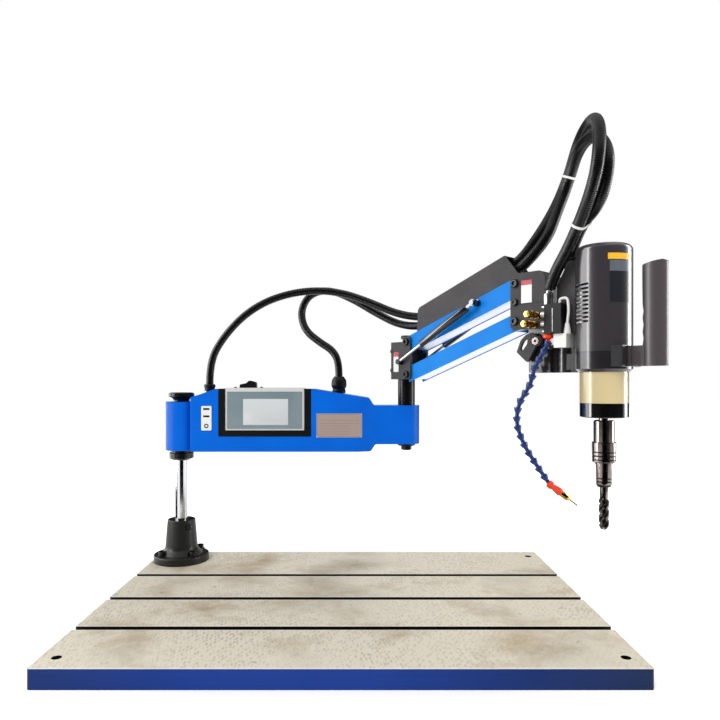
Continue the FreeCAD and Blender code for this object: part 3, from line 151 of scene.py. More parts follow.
@dataclass(frozen=True)
class Finish:
    """One real surface: its colour, gloss and small relief."""

    name: str
    colour: str
    roughness: float
    metallic: float = 0.0
    coat: float = 0.0
    specular: float = 0.5
    grain: Grain | None = None
    mottle: Mottle | None = None
    marks: Marks | None = None

    def make(self) -> bpy.types.Material:
        """Builds the material, once, and returns it."""
        known = bpy.data.materials.get(self.name)
        if known:
            return known
        material = bpy.data.materials.new(self.name)
        material.use_nodes = True
        tree = material.node_tree
        shader = tree.nodes["Principled BSDF"]
        shader.inputs["Base Color"].default_value = linear(self.colour)
        shader.inputs["Roughness"].default_value = self.roughness
        shader.inputs["Metallic"].default_value = self.metallic
        shader.inputs["Specular IOR Level"].default_value = self.specular
        if self.coat:
            shader.inputs["Coat Weight"].default_value = self.coat
            shader.inputs["Coat Roughness"].default_value = 0.12
        place = add_node(tree, "TexCoord").outputs["Object"]
        self.dress(tree, shader, place)
        return material

    def dress(
        self, tree: bpy.types.NodeTree, shader: bpy.types.Node, place: bpy.types.NodeSocket
    ) -> None:
        """Adds the mottle, marks and grain.

        Args:
            tree: The material's tree.
            shader: Its surface shader.
            place: Object coordinates, in metres.
        """
        if self.mottle:
            self.add_mottle(tree, shader, place, self.mottle)
        normal = self.add_marks(tree, shader, place) if self.marks else None
        if self.grain:
            self.add_grain(tree, shader, place, self.grain, normal)

    def add_mottle(
        self,
        tree: bpy.types.NodeTree,
        shader: bpy.types.Node,
        place: bpy.types.NodeSocket,
        mottle: Mottle,
    ) -> None:
        """Mixes the second colour in by a slow noise."""
        noise = add_node(
            tree, "TexNoise", {"Scale": 1 / (mottle.size * MM), "Detail": 4.0}, {"Vector": place}
        )
        middle = 1 - mottle.share
        low, high = middle - mottle.hardness / 2, middle + mottle.hardness / 2
        amount = add_node(
            tree, "MapRange", {"From Min": low, "From Max": high}, {"Value": noise.outputs["Fac"]}
        )
        mix = add_node(
            tree,
            "Mix",
            {"data_type": "RGBA", 6: linear(self.colour), 7: linear(mottle.colour)},
            {0: amount.outputs["Result"]},
        )
        tree.links.new(mix.outputs[2], shader.inputs["Base Color"])

    def add_marks(
        self, tree: bpy.types.NodeTree, shader: bpy.types.Node, place: bpy.types.NodeSocket
    ) -> bpy.types.NodeSocket:
        """Stretches a fine noise along the marks, and returns the bumped normal."""
        marks = self.marks
        assert marks
        stretched = add_node(tree, "Mapping", {"Scale": marks.along.value}, {"Vector": place})
        noise = add_node(
            tree,
            "TexNoise",
            {"Scale": 1 / (marks.size * MM), "Detail": 3.0},
            {"Vector": stretched.outputs["Vector"]},
        )
        gloss = add_node(
            tree,
            "MapRange",
            {
                "From Min": 0.3,
                "From Max": 0.7,
                "To Min": max(0.03, self.roughness - marks.gloss_change),
                "To Max": self.roughness + marks.gloss_change,
            },
            {"Value": noise.outputs["Fac"]},
        )
        tree.links.new(gloss.outputs["Result"], shader.inputs["Roughness"])
        bump = add_node(
            tree, "Bump", {"Distance": marks.depth * MM}, {"Height": noise.outputs["Fac"]}
        )
        tree.links.new(bump.outputs["Normal"], shader.inputs["Normal"])
        return bump.outputs["Normal"]

    def add_grain(
        self,
        tree: bpy.types.NodeTree,
        shader: bpy.types.Node,
        place: bpy.types.NodeSocket,
        grain: Grain,
        under: bpy.types.NodeSocket | None = None,
    ) -> None:
        """Bumps the surface by a fine noise, on top of another normal where there is one."""
        noise = add_node(
            tree,
            "TexNoise",
            {"Scale": 1 / (grain.size * MM), "Detail": grain.detail},
            {"Vector": place},
        )
        links = {"Height": noise.outputs["Fac"]}
        if under:
            links["Normal"] = under
        bump = add_node(tree, "Bump", {"Distance": grain.depth * MM}, links)
        tree.links.new(bump.outputs["Normal"], shader.inputs["Normal"])


@dataclass(frozen=True)
class ScrapedPlate(Finish):
    """Cast iron plate: scraped and stained on top, painted shade black in its slots and underneath,
    painted on its sides.

    Old oil leaves soft brown clouds. Each band between two slots carries rows of short
    slanting scraper marks. The slots' edges and the front edge are worn bright.
    """

    stain: str = "#a08a66"
    dirt: str = "#6f675c"
    mark: str = "#8f8878"
    wear_and_end_shade: str = "#ece7dc"
    # Painted shade: near black for every face below the top, in the slots and underneath.
    slot_shade: str = "#0b0a0a"
    paint: str = "#02348a"
    # Painted shade: the darker blue for the side paint's ends.
    paint_in_shade: str = "#021c44"
    low: tuple[float, float] = (-0.0755, -0.6695)
    high: tuple[float, float] = (0.9855, 0.0775)
    slots: tuple[float, float, float] = (-0.490, -0.316, -0.142)
    half_throat: float = 0.009

    def dress(
        self, tree: bpy.types.NodeTree, shader: bpy.types.Node, place: bpy.types.NodeSocket
    ) -> None:
        """Layers clouds, scraper marks, dirt, worn edges, painted black shade below the top, and
        paint.
        """
        axes = add_node(tree, "SeparateXYZ", None, {0: place})
        clouds = self.noise(tree, place, 7.0, 0.6)
        stained = self.blend(
            tree, linear(self.colour), linear(self.stain), self.ramp(tree, clouds, 0.50, 0.74, 0.8)
        )
        grey = self.noise(tree, place, 3.2, 0.5)
        aged = self.blend(tree, stained, linear(self.dirt), self.ramp(tree, grey, 0.56, 0.78, 0.45))
        marked = self.blend(tree, aged, linear(self.mark), self.scraper_marks(tree, place, grey))
        spots = self.noise(tree, place, 70.0, 0.7)
        spotted = self.blend(
            tree, marked, linear(self.dirt), self.ramp(tree, spots, 0.60, 0.72, 0.6)
        )
        edged = self.blend(tree, spotted, linear(self.wear_and_end_shade), self.edge_mask(tree, axes.outputs["Y"]))
        # Painted shade: faces below the top face, in the slots and underneath, turn near black.
        below = add_node(tree, "Math", {"operation": "LESS_THAN", 1: 0.0357}, {0: axes.outputs["Z"]})
        slot_shaded = self.blend(tree, edged, linear(self.slot_shade), below.outputs[0])
        side = self.side_mask(tree, axes, below.outputs[0])
        painted = self.blend(tree, slot_shaded, self.paint_colour(tree, place, axes), side)
        tree.links.new(painted, shader.inputs["Base Color"])
        gloss = add_node(
            tree,
            "MapRange",
            {"From Min": 0.2, "From Max": 0.8, "To Min": 0.46, "To Max": 0.66},
            {"Value": clouds},
        )
        tree.links.new(gloss.outputs["Result"], shader.inputs["Roughness"])
        bump = add_node(tree, "Bump", {"Distance": 0.06 * MM, "Strength": 0.6}, {"Height": spots})
        tree.links.new(bump.outputs["Normal"], shader.inputs["Normal"])

    @staticmethod
    def noise(
        tree: bpy.types.NodeTree, place: bpy.types.NodeSocket, scale: float, roughness: float
    ) -> bpy.types.NodeSocket:
        """Returns a noise of so many cells to the metre."""
        made = add_node(
            tree,
            "TexNoise",
            {"Scale": scale, "Detail": 5.0, "Roughness": roughness},
            {"Vector": place},
        )
        return made.outputs["Fac"]

    @staticmethod
    def ramp(
        tree: bpy.types.NodeTree, value: bpy.types.NodeSocket, low: float, high: float, top: float
    ) -> bpy.types.NodeSocket:
        """Returns 0 under low, top over high, and a straight rise between them."""
        made = add_node(
            tree, "MapRange", {"From Min": low, "From Max": high, "To Max": top}, {"Value": value}
        )
        return made.outputs["Result"]

    @staticmethod
    def blend(
        tree: bpy.types.NodeTree, under: Any, over: Any, share: bpy.types.NodeSocket
    ) -> bpy.types.NodeSocket:
        """Returns one colour over another; each is a socket or a fixed colour."""
        settings: dict[str | int, Any] = {"data_type": "RGBA"}
        links: dict[str | int, bpy.types.NodeSocket] = {0: share}
        for key, colour in ((6, under), (7, over)):
            (links if isinstance(colour, bpy.types.NodeSocket) else settings)[key] = colour
        return add_node(tree, "Mix", settings, links).outputs[2]

    def scraper_marks(
        self, tree: bpy.types.NodeTree, place: bpy.types.NodeSocket, patches: bpy.types.NodeSocket
    ) -> bpy.types.NodeSocket:
        """Returns short slanting dashes, stronger in some patches than others."""
        slanted = add_node(
            tree,
            "Mapping",
            {"Rotation": (0.0, 0.0, math.radians(-32)), "Scale": (165.0, 58.0, 1.0)},
            {"Vector": place},
        )
        cells = add_node(
            tree,
            "TexVoronoi",
            {"Scale": 1.0, "Randomness": 0.5},
            {"Vector": slanted.outputs["Vector"]},
        )
        dashes = add_node(
            tree,
            "MapRange",
            {"From Min": 0.1, "From Max": 0.5, "To Min": 0.7, "To Max": 0.0},
            {"Value": cells.outputs["Distance"]},
        )
        strength = add_node(
            tree,
            "MapRange",
            {"From Min": 0.36, "From Max": 0.6, "To Min": 1.0, "To Max": 0.25},
            {"Value": patches},
        )
        both = add_node(
            tree,
            "Math",
            {"operation": "MULTIPLY"},
            {0: dashes.outputs["Result"], 1: strength.outputs["Result"]},
        )
        return both.outputs[0]

    def edge_mask(
        self, tree: bpy.types.NodeTree, across: bpy.types.NodeSocket
    ) -> bpy.types.NodeSocket:
        """Returns 1 along the worn edges of the slots and of the plate's front."""
        reach = self.high[1] - self.low[1]
        marks = [(self.low[1], 0.9), (self.low[1] + 0.004, 0.0)]
        for slot in self.slots:
            near, far = slot - self.half_throat, slot + self.half_throat
            marks += [(near - 0.0035, 0.0), (near, 0.8), (far, 0.8), (far + 0.0035, 0.0)]
        along = add_node(
            tree,
            "MapRange",
            {"From Min": self.low[1], "From Max": self.high[1]},
            {"Value": across},
        )
        ramp = add_node(tree, "ValToRGB", None, {"Fac": along.outputs["Result"]})
        elements = ramp.color_ramp.elements
        elements.remove(elements[1])
        for i, (at, value) in enumerate(marks):
            share = (at - self.low[1]) / reach
            element = elements[0] if i == 0 else elements.new(share)
            element.position = share
            element.color = (value, value, value, 1.0)
        return ramp.outputs["Color"]

    def side_mask(
        self,
        tree: bpy.types.NodeTree,
        axes: bpy.types.Node,
        below: bpy.types.NodeSocket,
    ) -> bpy.types.NodeSocket:
        """Returns 1 on the plate's outer sides and 0 elsewhere."""
        tests = [
            (axes.outputs["X"], "LESS_THAN", self.low[0]),
            (axes.outputs["X"], "GREATER_THAN", self.high[0]),
            (axes.outputs["Y"], "LESS_THAN", self.low[1]),
            (axes.outputs["Y"], "GREATER_THAN", self.high[1]),
        ]
        total: bpy.types.NodeSocket | None = None
        for socket, operation, limit in tests:
            test = add_node(tree, "Math", {"operation": operation, 1: limit}, {0: socket})
            if total is None:
                total = test.outputs[0]
                continue
            joined = add_node(
                tree, "Math", {"operation": "MAXIMUM"}, {0: total, 1: test.outputs[0]}
            )
            total = joined.outputs[0]
        both = add_node(tree, "Math", {"operation": "MULTIPLY"}, {0: total, 1: below})
        return both.outputs[0]

    def paint_colour(
        self, tree: bpy.types.NodeTree, place: bpy.types.NodeSocket, axes: bpy.types.Node
    ) -> bpy.types.NodeSocket:
        """Returns brushed blue paint with painted shade, darker towards the plate's ends."""
        middle = (self.low[0] + self.high[0]) / 2
        from_middle = add_node(
            tree, "Math", {"operation": "SUBTRACT", 1: middle - 0.1}, {0: axes.outputs["X"]}
        )
        away = add_node(tree, "Math", {"operation": "ABSOLUTE"}, {0: from_middle.outputs[0]})
        streaks = add_node(tree, "Mapping", {"Scale": (1.5, 1.5, 60.0)}, {"Vector": place})
        brushed = self.noise(tree, streaks.outputs["Vector"], 3.0, 0.5)
        # Painted shade: the darker paint's share grows with the distance from the middle, streaked
        # by the brush marks.
        wear_and_end_shade = add_node(tree, "Math", {"operation": "MULTIPLY_ADD", 1: 0.22}, {0: brushed})
        tree.links.new(away.outputs[0], wear_and_end_shade.inputs[2])
        share = self.ramp(tree, wear_and_end_shade.outputs[0], 0.26, 0.74, 0.95)
        return self.blend(tree, linear(self.paint), linear(self.paint_in_shade), share)


class Finishes:
    """Every finish on the machine, each named for what it really is."""

    # Bare cast iron goes cream and brown with old oil; only the sides are painted.
    plate = ScrapedPlate("scraped_cast_iron", "#d6cebb", 0.55, specular=0.3)
    # Black enamel on a rough casting: soft gloss over a coarse skin.
    cast_foot = Finish(
        "black_enamelled_casting", "#1f201c", 0.34, grain=Grain(2.6, 0.1), specular=0.25
    )
    # Hard chrome keeps fine grinding rings that dull it a little.
    chrome = Finish(
        "hard_chrome", "#c0c1c4", 0.12, 1.0, marks=Marks(Along.ROUND_Z, 0.8, 0.05, 0.002)
    )
    # Black oxide is thin, with oil in it that keeps a low sheen.
    black_oxide = Finish(
        "black_oxide_steel", "#0d0c0d", 0.26, grain=Grain(0.6, 0.01), specular=0.3
    )
    # Semi-gloss powder coat has a slight orange peel.
    arm_blue = Finish(
        "blue_powder_coat", "#0069dc", 0.38, grain=Grain(2.4, 0.02), specular=0.09,
        mottle=Mottle(90, "#005fd0", 0.5, 0.5),
    )
    link_blue = Finish(
        "light_blue_powder_coat", "#0f72d8", 0.38, grain=Grain(2.4, 0.02), specular=0.07,
        mottle=Mottle(170, "#0094f4", 0.5, 0.6),
    )
    # Fine-texture powder coat scatters light from a sandy skin.
    textured_grey = Finish(
        "textured_grey_powder_coat", "#434143", 0.5, grain=Grain(0.7, 0.05, 3.0),
        mottle=Mottle(40, "#3b393b", 0.5), specular=0.16,
    )
    # Satin enamel on the turned and cast parts round the motor.
    motor_grey = Finish(
        "satin_grey_enamel", "#373337", 0.3, grain=Grain(1.6, 0.01), coat=0.7, specular=0.6
    )
    carrier_black = Finish(
        "satin_black_enamel", "#232124", 0.26, grain=Grain(1.6, 0.01), coat=0.5
    )
    grip_grey = Finish(
        "painted_cast_grip", "#4b4447", 0.4, grain=Grain(1.0, 0.03), coat=0.15
    )
    cream = Finish("cream_enamel", "#d2c094", 0.24, grain=Grain(2.0, 0.01), coat=0.6)
    black_gloss = Finish("black_gloss_enamel", "#0b0b0c", 0.12, coat=0.8)
    # Extruded aluminium keeps its die lines along its length.
    aluminium = Finish(
        "extruded_aluminium", "#cdd3e0", 0.36, 1.0, marks=Marks(Along.X, 0.9, 0.1, 0.004)
    )
    bronze = Finish("oiled_bronze", "#a87a44", 0.35, 1.0, grain=Grain(1.0, 0.01))
    # ABS moulded in a spark-eroded tool: matt, faintly pebbled.
    abs_black = Finish("moulded_black_abs", "#0b0b0d", 0.46, grain=Grain(0.8, 0.02), specular=0.25)
    abs_white = Finish("moulded_white_abs", "#e9e9e6", 0.35, grain=Grain(1.2, 0.008))
    # Satin silver lacquer over a moulded case.
    silver_case = Finish("silver_lacquered_case", "#dcdedd", 0.38, 0.2, coat=0.2)
    # Glass printed grey on its back, with a slow lighter mottle that is a painted reflection.
    printed_glass = Finish(
        "grey_printed_glass", "#61747c", 0.08, coat=0.6, mottle=Mottle(160, "#93a2a8", 0.5, 0.6)
    )
    display = Finish("unlit_display", "#cdd1d3", 0.22, coat=0.5, grain=Grain(2.0, 0.003))
    # Ground tool steel, turned marks round its axis.
    tool_steel = Finish(
        "ground_tool_steel", "#857c78", 0.17, 1.0, marks=Marks(Along.ROUND_Z, 0.5, 0.06, 0.002)
    )
    # High-speed steel steamed dark, brighter where it has cut.
    tap_steel = Finish(
        "steamed_high_speed_steel", "#46423f", 0.24, 1.0, grain=Grain(0.5, 0.01),
        mottle=Mottle(14, "#8d8883", 0.4, 0.25),
    )
    brass = Finish(
        "turned_brass", "#d9ad58", 0.22, 1.0, marks=Marks(Along.ROUND_Z, 0.6, 0.08, 0.002)
    )
    # Acetal is moulded and slightly waxy.
    hose_blue = Finish("moulded_blue_acetal", "#0f3070", 0.3, grain=Grain(1.5, 0.01))
    nozzle_orange = Finish("moulded_orange_acetal", "#e8401a", 0.33, grain=Grain(1.5, 0.01))
    # Corrugated nylon conduit: semi-matt, the ribs do the rest.
    conduit = Finish("corrugated_black_nylon", "#0b0a0b", 0.33, grain=Grain(1.2, 0.01))
    zinc = Finish("bright_zinc_plate", "#cfd0cf", 0.36, 1.0, grain=Grain(0.8, 0.008))
    nylon_white = Finish("white_nylon", "#f0f0ee", 0.42, grain=Grain(1.0, 0.01))
    rubber_black = Finish("black_rubber_seal", "#0a0a0b", 0.6, grain=Grain(0.8, 0.02))
    # Printed polyester labels, left bare.
    label_white = Finish("white_polyester_label", "#ecebea", 0.4, grain=Grain(3.0, 0.004))
    label_red = Finish("red_label_band", "#b82434", 0.4, grain=Grain(3.0, 0.004))
    label_metal = Finish(
        "etched_aluminium_plate", "#bba8a0", 0.42, 0.3, marks=Marks(Along.X, 0.6, 0.08, 0.002)
    )
    label_ink = Finish("plate_ruling_ink", "#8a7068", 0.5, grain=Grain(3.0, 0.004))
    label_amber = Finish("amber_polyester_label", "#eab120", 0.36, grain=Grain(3.0, 0.004))
    label_dark = Finish("dark_polyester_label", "#23252b", 0.3, coat=0.3, grain=Grain(3.0, 0.004))
    label_grey = Finish("grey_label_band", "#5a6069", 0.3, coat=0.3, grain=Grain(3.0, 0.004))


NODE_FINISHES: dict[str, Finish] = {
    "bed_plate": Finishes.plate,
    "column_foot": Finishes.cast_foot,
    "foot_fasteners": Finishes.black_oxide,
    "column": Finishes.chrome,
    "column_collar": Finishes.black_oxide,
    "column_cap": Finishes.black_oxide,
    "first_arm_housing": Finishes.arm_blue,
    "first_arm_back_plate": Finishes.arm_blue,
    "back_plate_screws": Finishes.black_oxide,
    "arm_bearings": Finishes.bronze,
    "screen_surround": Finishes.abs_black,
    "screen_case": Finishes.silver_case,
    "screen_glass": Finishes.printed_glass,
    "port_panel": Finishes.abs_white,
    "servo_drive": Finishes.abs_black,
    "conduit_glands": Finishes.abs_black,
    "power_rocker": Finishes.abs_black,
    "elbow_post": Finishes.black_oxide,
    "elbow_lock_nut": Finishes.black_oxide,
    "elbow_fork": Finishes.textured_grey,
    "elbow_pins": Finishes.black_oxide,
    "upper_link_channel": Finishes.link_blue,
    "upper_link_bar": Finishes.aluminium,
    "cable_cover": Finishes.textured_grey,
    "lower_link_channel": Finishes.link_blue,
    "lower_link_bar": Finishes.aluminium,
    "head_knuckle": Finishes.textured_grey,
    "head_carrier": Finishes.carrier_black,
    "motor_cover": Finishes.motor_grey,
    "servo_motor": Finishes.abs_black,
    "gearbox_barrel": Finishes.cream,
    "nose_ring": Finishes.black_gloss,
    "spindle_bearing": Finishes.tool_steel,
    "terminal_box": Finishes.textured_grey,
    "solenoid_valve": Finishes.abs_black,
    "needle_valve_bodies": Finishes.brass,
    "handle": Finishes.grip_grey,
    "hose_seat": Finishes.nozzle_orange,
    "needle_knob_upper": Finishes.brass,
    "needle_knob_lower": Finishes.brass,
    "clamp_lever": Finishes.textured_grey,
    "thumb_button": Finishes.abs_black,
    "spindle": Finishes.tool_steel,
    "chuck_body": Finishes.tool_steel,
    "tap": Finishes.tap_steel,
    "hose_upper_run": Finishes.hose_blue,
    "hose_lower_run": Finishes.hose_blue,
}


# --------------------------------------------------------------------------- workshop tools
class Piece:
    """One new piece: a bmesh in millimetres that becomes an object on a body."""

    def __init__(self, name: str, frame_matrix: Matrix = BENCH) -> None:
        """Starts an empty mesh.

        Args:
            name: The finished object's name.
            frame_matrix: Takes the piece's millimetres to the row frame's metres.
        """
        self.name = name
        self.frame_matrix = frame_matrix
        self.mesh = bmesh.new()

    def box(self, low: Point, high: Point, round_by: float = 0.0) -> Piece:
        """Adds a box between two corners, with rounded edges.

        Args:
            low: Its lowest corner.
            high: Its highest corner.
            round_by: The radius of its edges.

        Returns:
            The piece, for more shaping.
        """
        size = Vector(high) - Vector(low)
        middle = (Vector(high) + Vector(low)) / 2
        matrix = Matrix.Translation(middle) @ Matrix.Diagonal(size.to_4d())
        made = bmesh.ops.create_cube(self.mesh, size=1.0, matrix=matrix)
        if round_by:
            edges = {edge for vert in made["verts"] for edge in vert.link_edges}
            bmesh.ops.bevel(
                self.mesh, geom=list(edges), offset=round_by, affect="EDGES", segments=2,
                profile=0.5, material=-1,
            )
        return self

    def turn(self, profile: Sequence[Point], matrix: Matrix, steps: int = 32) -> Piece:
        """Spins a profile of (radius, height) round the matrix's Z axis.

        Args:
            profile: The corners, from one end to the other.
            matrix: Places the turned form.
            steps: The facets in a full turn.

        Returns:
            The piece, for more shaping.
        """
        verts = [self.mesh.verts.new(Vector((r, 0.0, z))) for r, z in profile]
        edges = [self.mesh.edges.new(pair) for pair in zip(verts, verts[1:])]
        before = set(self.mesh.verts) - set(verts)
        bmesh.ops.spin(
            self.mesh, geom=verts + edges, cent=(0, 0, 0), axis=(0, 0, 1),
            angle=math.tau, steps=steps, use_merge=True,
        )
        fresh = [vert for vert in self.mesh.verts if vert not in before]
        bmesh.ops.remove_doubles(self.mesh, verts=fresh, dist=1e-4)
        fresh = [vert for vert in self.mesh.verts if vert not in before]
        bmesh.ops.transform(self.mesh, matrix=matrix, verts=fresh)
        return self

    def strip(self, path: Sequence[Point], low: float, high: float, thick: float) -> Piece:
        """Adds an upright strip that follows a path seen from above.

        Args:
            path: The (x, y) points of its inner face; it grows out on the path's right.
            low: The height of its lower edge.
            high: The height of its upper edge.
            thick: Its thickness.

        Returns:
            The piece, for more shaping.
        """
        inner = [Vector((x, y, low)) for x, y in path]
        outer = []
        for i, point in enumerate(inner):
            along = inner[min(i + 1, len(inner) - 1)] - inner[max(i - 1, 0)]
            outer.append(point + Vector((along.y, -along.x, 0)).normalized() * thick)
        verts = [self.mesh.verts.new(point) for point in inner + outer[::-1]]
        base = self.mesh.faces.new(verts)
        made = bmesh.ops.extrude_face_region(self.mesh, geom=[base])
        raised = [item for item in made["geom"] if isinstance(item, bmesh.types.BMVert)]
        bmesh.ops.translate(self.mesh, verts=raised, vec=(0, 0, high - low))
        return self

    def band(self, rings: Sequence[Sequence[Vector]]) -> Piece:
        """Joins closed rings of as many points each, the last one back to the first.

        Args:
            rings: The corners of the band's section, each carried once round.

        Returns:
            The piece, for more shaping.
        """
        grid = [[self.mesh.verts.new(point) for point in ring] for ring in rings]
        for lower, upper in zip(grid, grid[1:] + grid[:1]):
            for i, vert in enumerate(lower):
                j = (i + 1) % len(lower)
                self.mesh.faces.new((vert, lower[j], upper[j], upper[i]))
        return self

    def finish(self, body: str, finish: Finish, slot: str, smooth: float = 35.0) -> bpy.types.Object:
        """Turns the mesh into an object that rides on a body.

        Args:
            body: The body that it rides on.
            finish: Its finish.
            slot: Not used; the record's material slot.
            smooth: Edges sharper than this many degrees stay sharp.

        Returns:
            The finished object.
        """
        made = self.as_object(finish, slot, smooth)
        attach(made, body)
        return made

    def as_object(self, finish: Finish, slot: str, smooth: float = 35.0) -> bpy.types.Object:
        """Turns the mesh into an object at the origin, with its finish."""
        self.mesh.normal_update()
        bmesh.ops.recalc_face_normals(self.mesh, faces=self.mesh.faces[:])
        bmesh.ops.transform(self.mesh, matrix=self.frame_matrix, verts=self.mesh.verts[:])
        for face in self.mesh.faces:
            face.smooth = True
        for edge in self.mesh.edges:
            edge.smooth = edge.calc_face_angle(math.pi) < math.radians(smooth)
        data = bpy.data.meshes.new(self.name)
        self.mesh.to_mesh(data)
        self.mesh.free()
        made = bpy.data.objects.new(self.name, data)
        bpy.context.scene.collection.objects.link(made)
        data.materials.append(finish.make())
        log.info("%s: %d faces", self.name, len(data.polygons))
        return made


def facing(centre: Point, towards: Point) -> Matrix:
    """Returns the matrix that puts local +Z along a direction, at a centre."""
    turn = Vector(towards).to_track_quat("Z", "Y").to_matrix().to_4x4()
    return Matrix.Translation(Vector(centre)) @ turn


# --------------------------------------------------------------------------- conduits
@dataclass(frozen=True)
class Route:
    """A conduit's control points in millimetres and the frame that they are in."""

    points: tuple[tuple[float, float, float], ...]
    frame_matrix: Matrix
    radius: float

    def line(self) -> list[Vector]:
        """Reads the smooth line of the route's spline, in metres.

        Returns:
            Close points along the spline.
        """
        curve = bpy.data.curves.new("route", "CURVE")
        curve.dimensions = "3D"
        curve.resolution_u = 24
        spline = curve.splines.new("NURBS")
        spline.points.add(len(self.points) - 1)
        for control, point in zip(spline.points, self.points):
            control.co = (self.frame_matrix @ Vector(point)).to_4d()
        spline.order_u = 3
        spline.use_endpoint_u = True
        carrier = bpy.data.objects.new("route", curve)
        bpy.context.scene.collection.objects.link(carrier)
        bpy.context.view_layer.update()
        mesh = bpy.data.meshes.new_from_object(carrier)
        line = [vert.co.copy() for vert in mesh.vertices]
        bpy.data.objects.remove(carrier)
        bpy.data.meshes.remove(mesh)
        bpy.data.curves.remove(curve)
        return line


def line_lengths(line: Sequence[Vector]) -> list[float]:
    """Returns the distance along a line at each of its points."""
    lengths = [0.0]
    for before, after in zip(line, line[1:]):
        lengths.append(lengths[-1] + (after - before).length)
    return lengths


def line_frames(line: Sequence[Vector]) -> list[Matrix]:
    """Carries a frame along a line without twisting it.

    Args:
        line: Close points.

    Returns:
        One matrix for each point, with local +Z along the line.
    """
    frames: list[Matrix] = []
    side = Vector((0, 0, 1)).cross(line[1] - line[0])
    if side.length < 1e-6:
        side = Vector((1, 0, 0))
    for i, point in enumerate(line):
        ahead = line[min(i + 1, len(line) - 1)] - line[max(i - 1, 0)]
        ahead.normalize()
        side = (side - ahead * side.dot(ahead)).normalized()
        up = ahead.cross(side)
        turn = Matrix((side, up, ahead)).transposed().to_4x4()
        frames.append(Matrix.Translation(point) @ turn)
    return frames


def frame_at(lengths: Sequence[float], frames: Sequence[Matrix], at: float) -> Matrix:
    """Returns the frame at a distance along a line, between its two nearest frames."""
    i = 1
    while i < len(lengths) - 1 and lengths[i] < at:
        i += 1
    span = lengths[i] - lengths[i - 1]
    share = (at - lengths[i - 1]) / span if span else 0.0
    return frames[i - 1].lerp(frames[i], min(max(share, 0.0), 1.0))


class Bend(Enum):
    """Which two bodies a stretch of conduit bends between, and where, in metres."""

    FIRST_ARM_TO_ELBOW = ("first_arm", "elbow", (0.40, 0.0, 0.6), (0.60, 0.0, 0.6))
    ELBOW_TO_LINK = ("elbow", "upper_link", (0.628, -0.0137, 0.0), (0.70, -0.0896, 0.0))
    LINK_TO_HEAD = ("upper_link", "head", (0.868, -0.267, 0.80), (0.93, -0.333, 1.00))


@dataclass
class Conduit:
    """One stretch of corrugated conduit: ribs at a real pitch, swept along a route."""

    name: str
    node: str
    route: Route
    bend: Bend
    start: float
    end: float
    pitch: float = 4.2
    groove: float = 1.1
    steps: int = 20
    length: float = field(default=0.0, init=False)

    def build(self, line: Sequence[Vector], leaves: Point, whole: bool) -> bpy.types.Object:
        """Args:
            line: The route's smooth line, in metres.
            leaves: Not used. The point where this stretch leaves what it comes out of.
            whole: Whether this stretch is the one that stands for the CAD node.

        Returns:
            The finished stretch.
        """
        lengths = line_lengths(line)
        frames = line_frames(line)
        first, last = self.start * lengths[-1], self.end * lengths[-1]
        self.length = last - first
        ribs = max(2, round(self.length / (self.pitch * MM)))
        step = self.length / ribs
        radius = self.route.radius * MM
        low = radius - self.groove * MM
        profile: list[tuple[float, float]] = []
        for i in range(ribs):
            base = i * step
            profile += [
                (low, base), (low, base + 0.28 * step), (radius, base + 0.45 * step),
                (radius, base + 0.83 * step),
            ]
        profile.append((low, self.length))
        piece = Piece(self.name, Matrix.Identity(4))
        piece.turn(profile, Matrix.Identity(4), self.steps)
        for vert in piece.mesh.verts:
            at = vert.co.z
            place = frame_at(lengths, frames, first + at)
            vert.co = place @ Vector((vert.co.x, vert.co.y, 0.0))
        made = piece.as_object(Finishes.conduit, "conduit_black", 50.0)
        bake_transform(made)
        if whole:
            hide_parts(self.node)
        return made


ELBOW_UPPER = Route(
    (
        (77, 0, 480), (77, 0, 541), (112, 7, 608), (171, 13, 673), (244, 20, 717), (338, 24, 740),
        (430, 18, 735), (513, 2, 705), (591, -20, 668), (662, -51, 656), (699, -86, 674),
        (724, -114, 688),
    ),
    BENCH,
    10.5,
)
ELBOW_LOWER = Route(
    (
        (430.5, 0, 501), (430.5, 0, 538), (414, 8, 572), (377, 20, 595), (333, 36, 631),
        (320, 54, 686), (344, 68, 735), (400, 68, 749), (468, 50, 719), (532, 24, 677),
        (597, -8, 640), (660, -52, 633), (698, -85, 650), (730, -121, 667),
    ),
    BENCH,
    10.5,
)
LOOP_UPPER = Route(
    (
        (172, 7, 697), (251, 7, 724), (346, 8, 761), (388, 36, 829), (411, 71, 897),
        (432, 88, 967), (476, 56, 1035), (545, -16, 1044), (592, -84, 992), (602, -108, 920),
        (581, -96, 862), (537, -62, 811), (505, -53, 761), (472, -45, 720), (459.5, -42.5, 690.5),
    ),
    SECOND_ARM,
    13.0,
)
LOOP_LOWER = Route(
    (
        (180, -7, 675), (255, -6.5, 702), (345, -6, 734), (419, 12, 806), (427, 42, 874),
        (441, 68, 942), (484, 34, 1004), (554, -28, 1004), (603, -70, 948), (603, -76, 886),
        (576, -60, 840), (518, -22, 818), (486, -6, 762),
    ),
    SECOND_ARM,
    13.0,
)


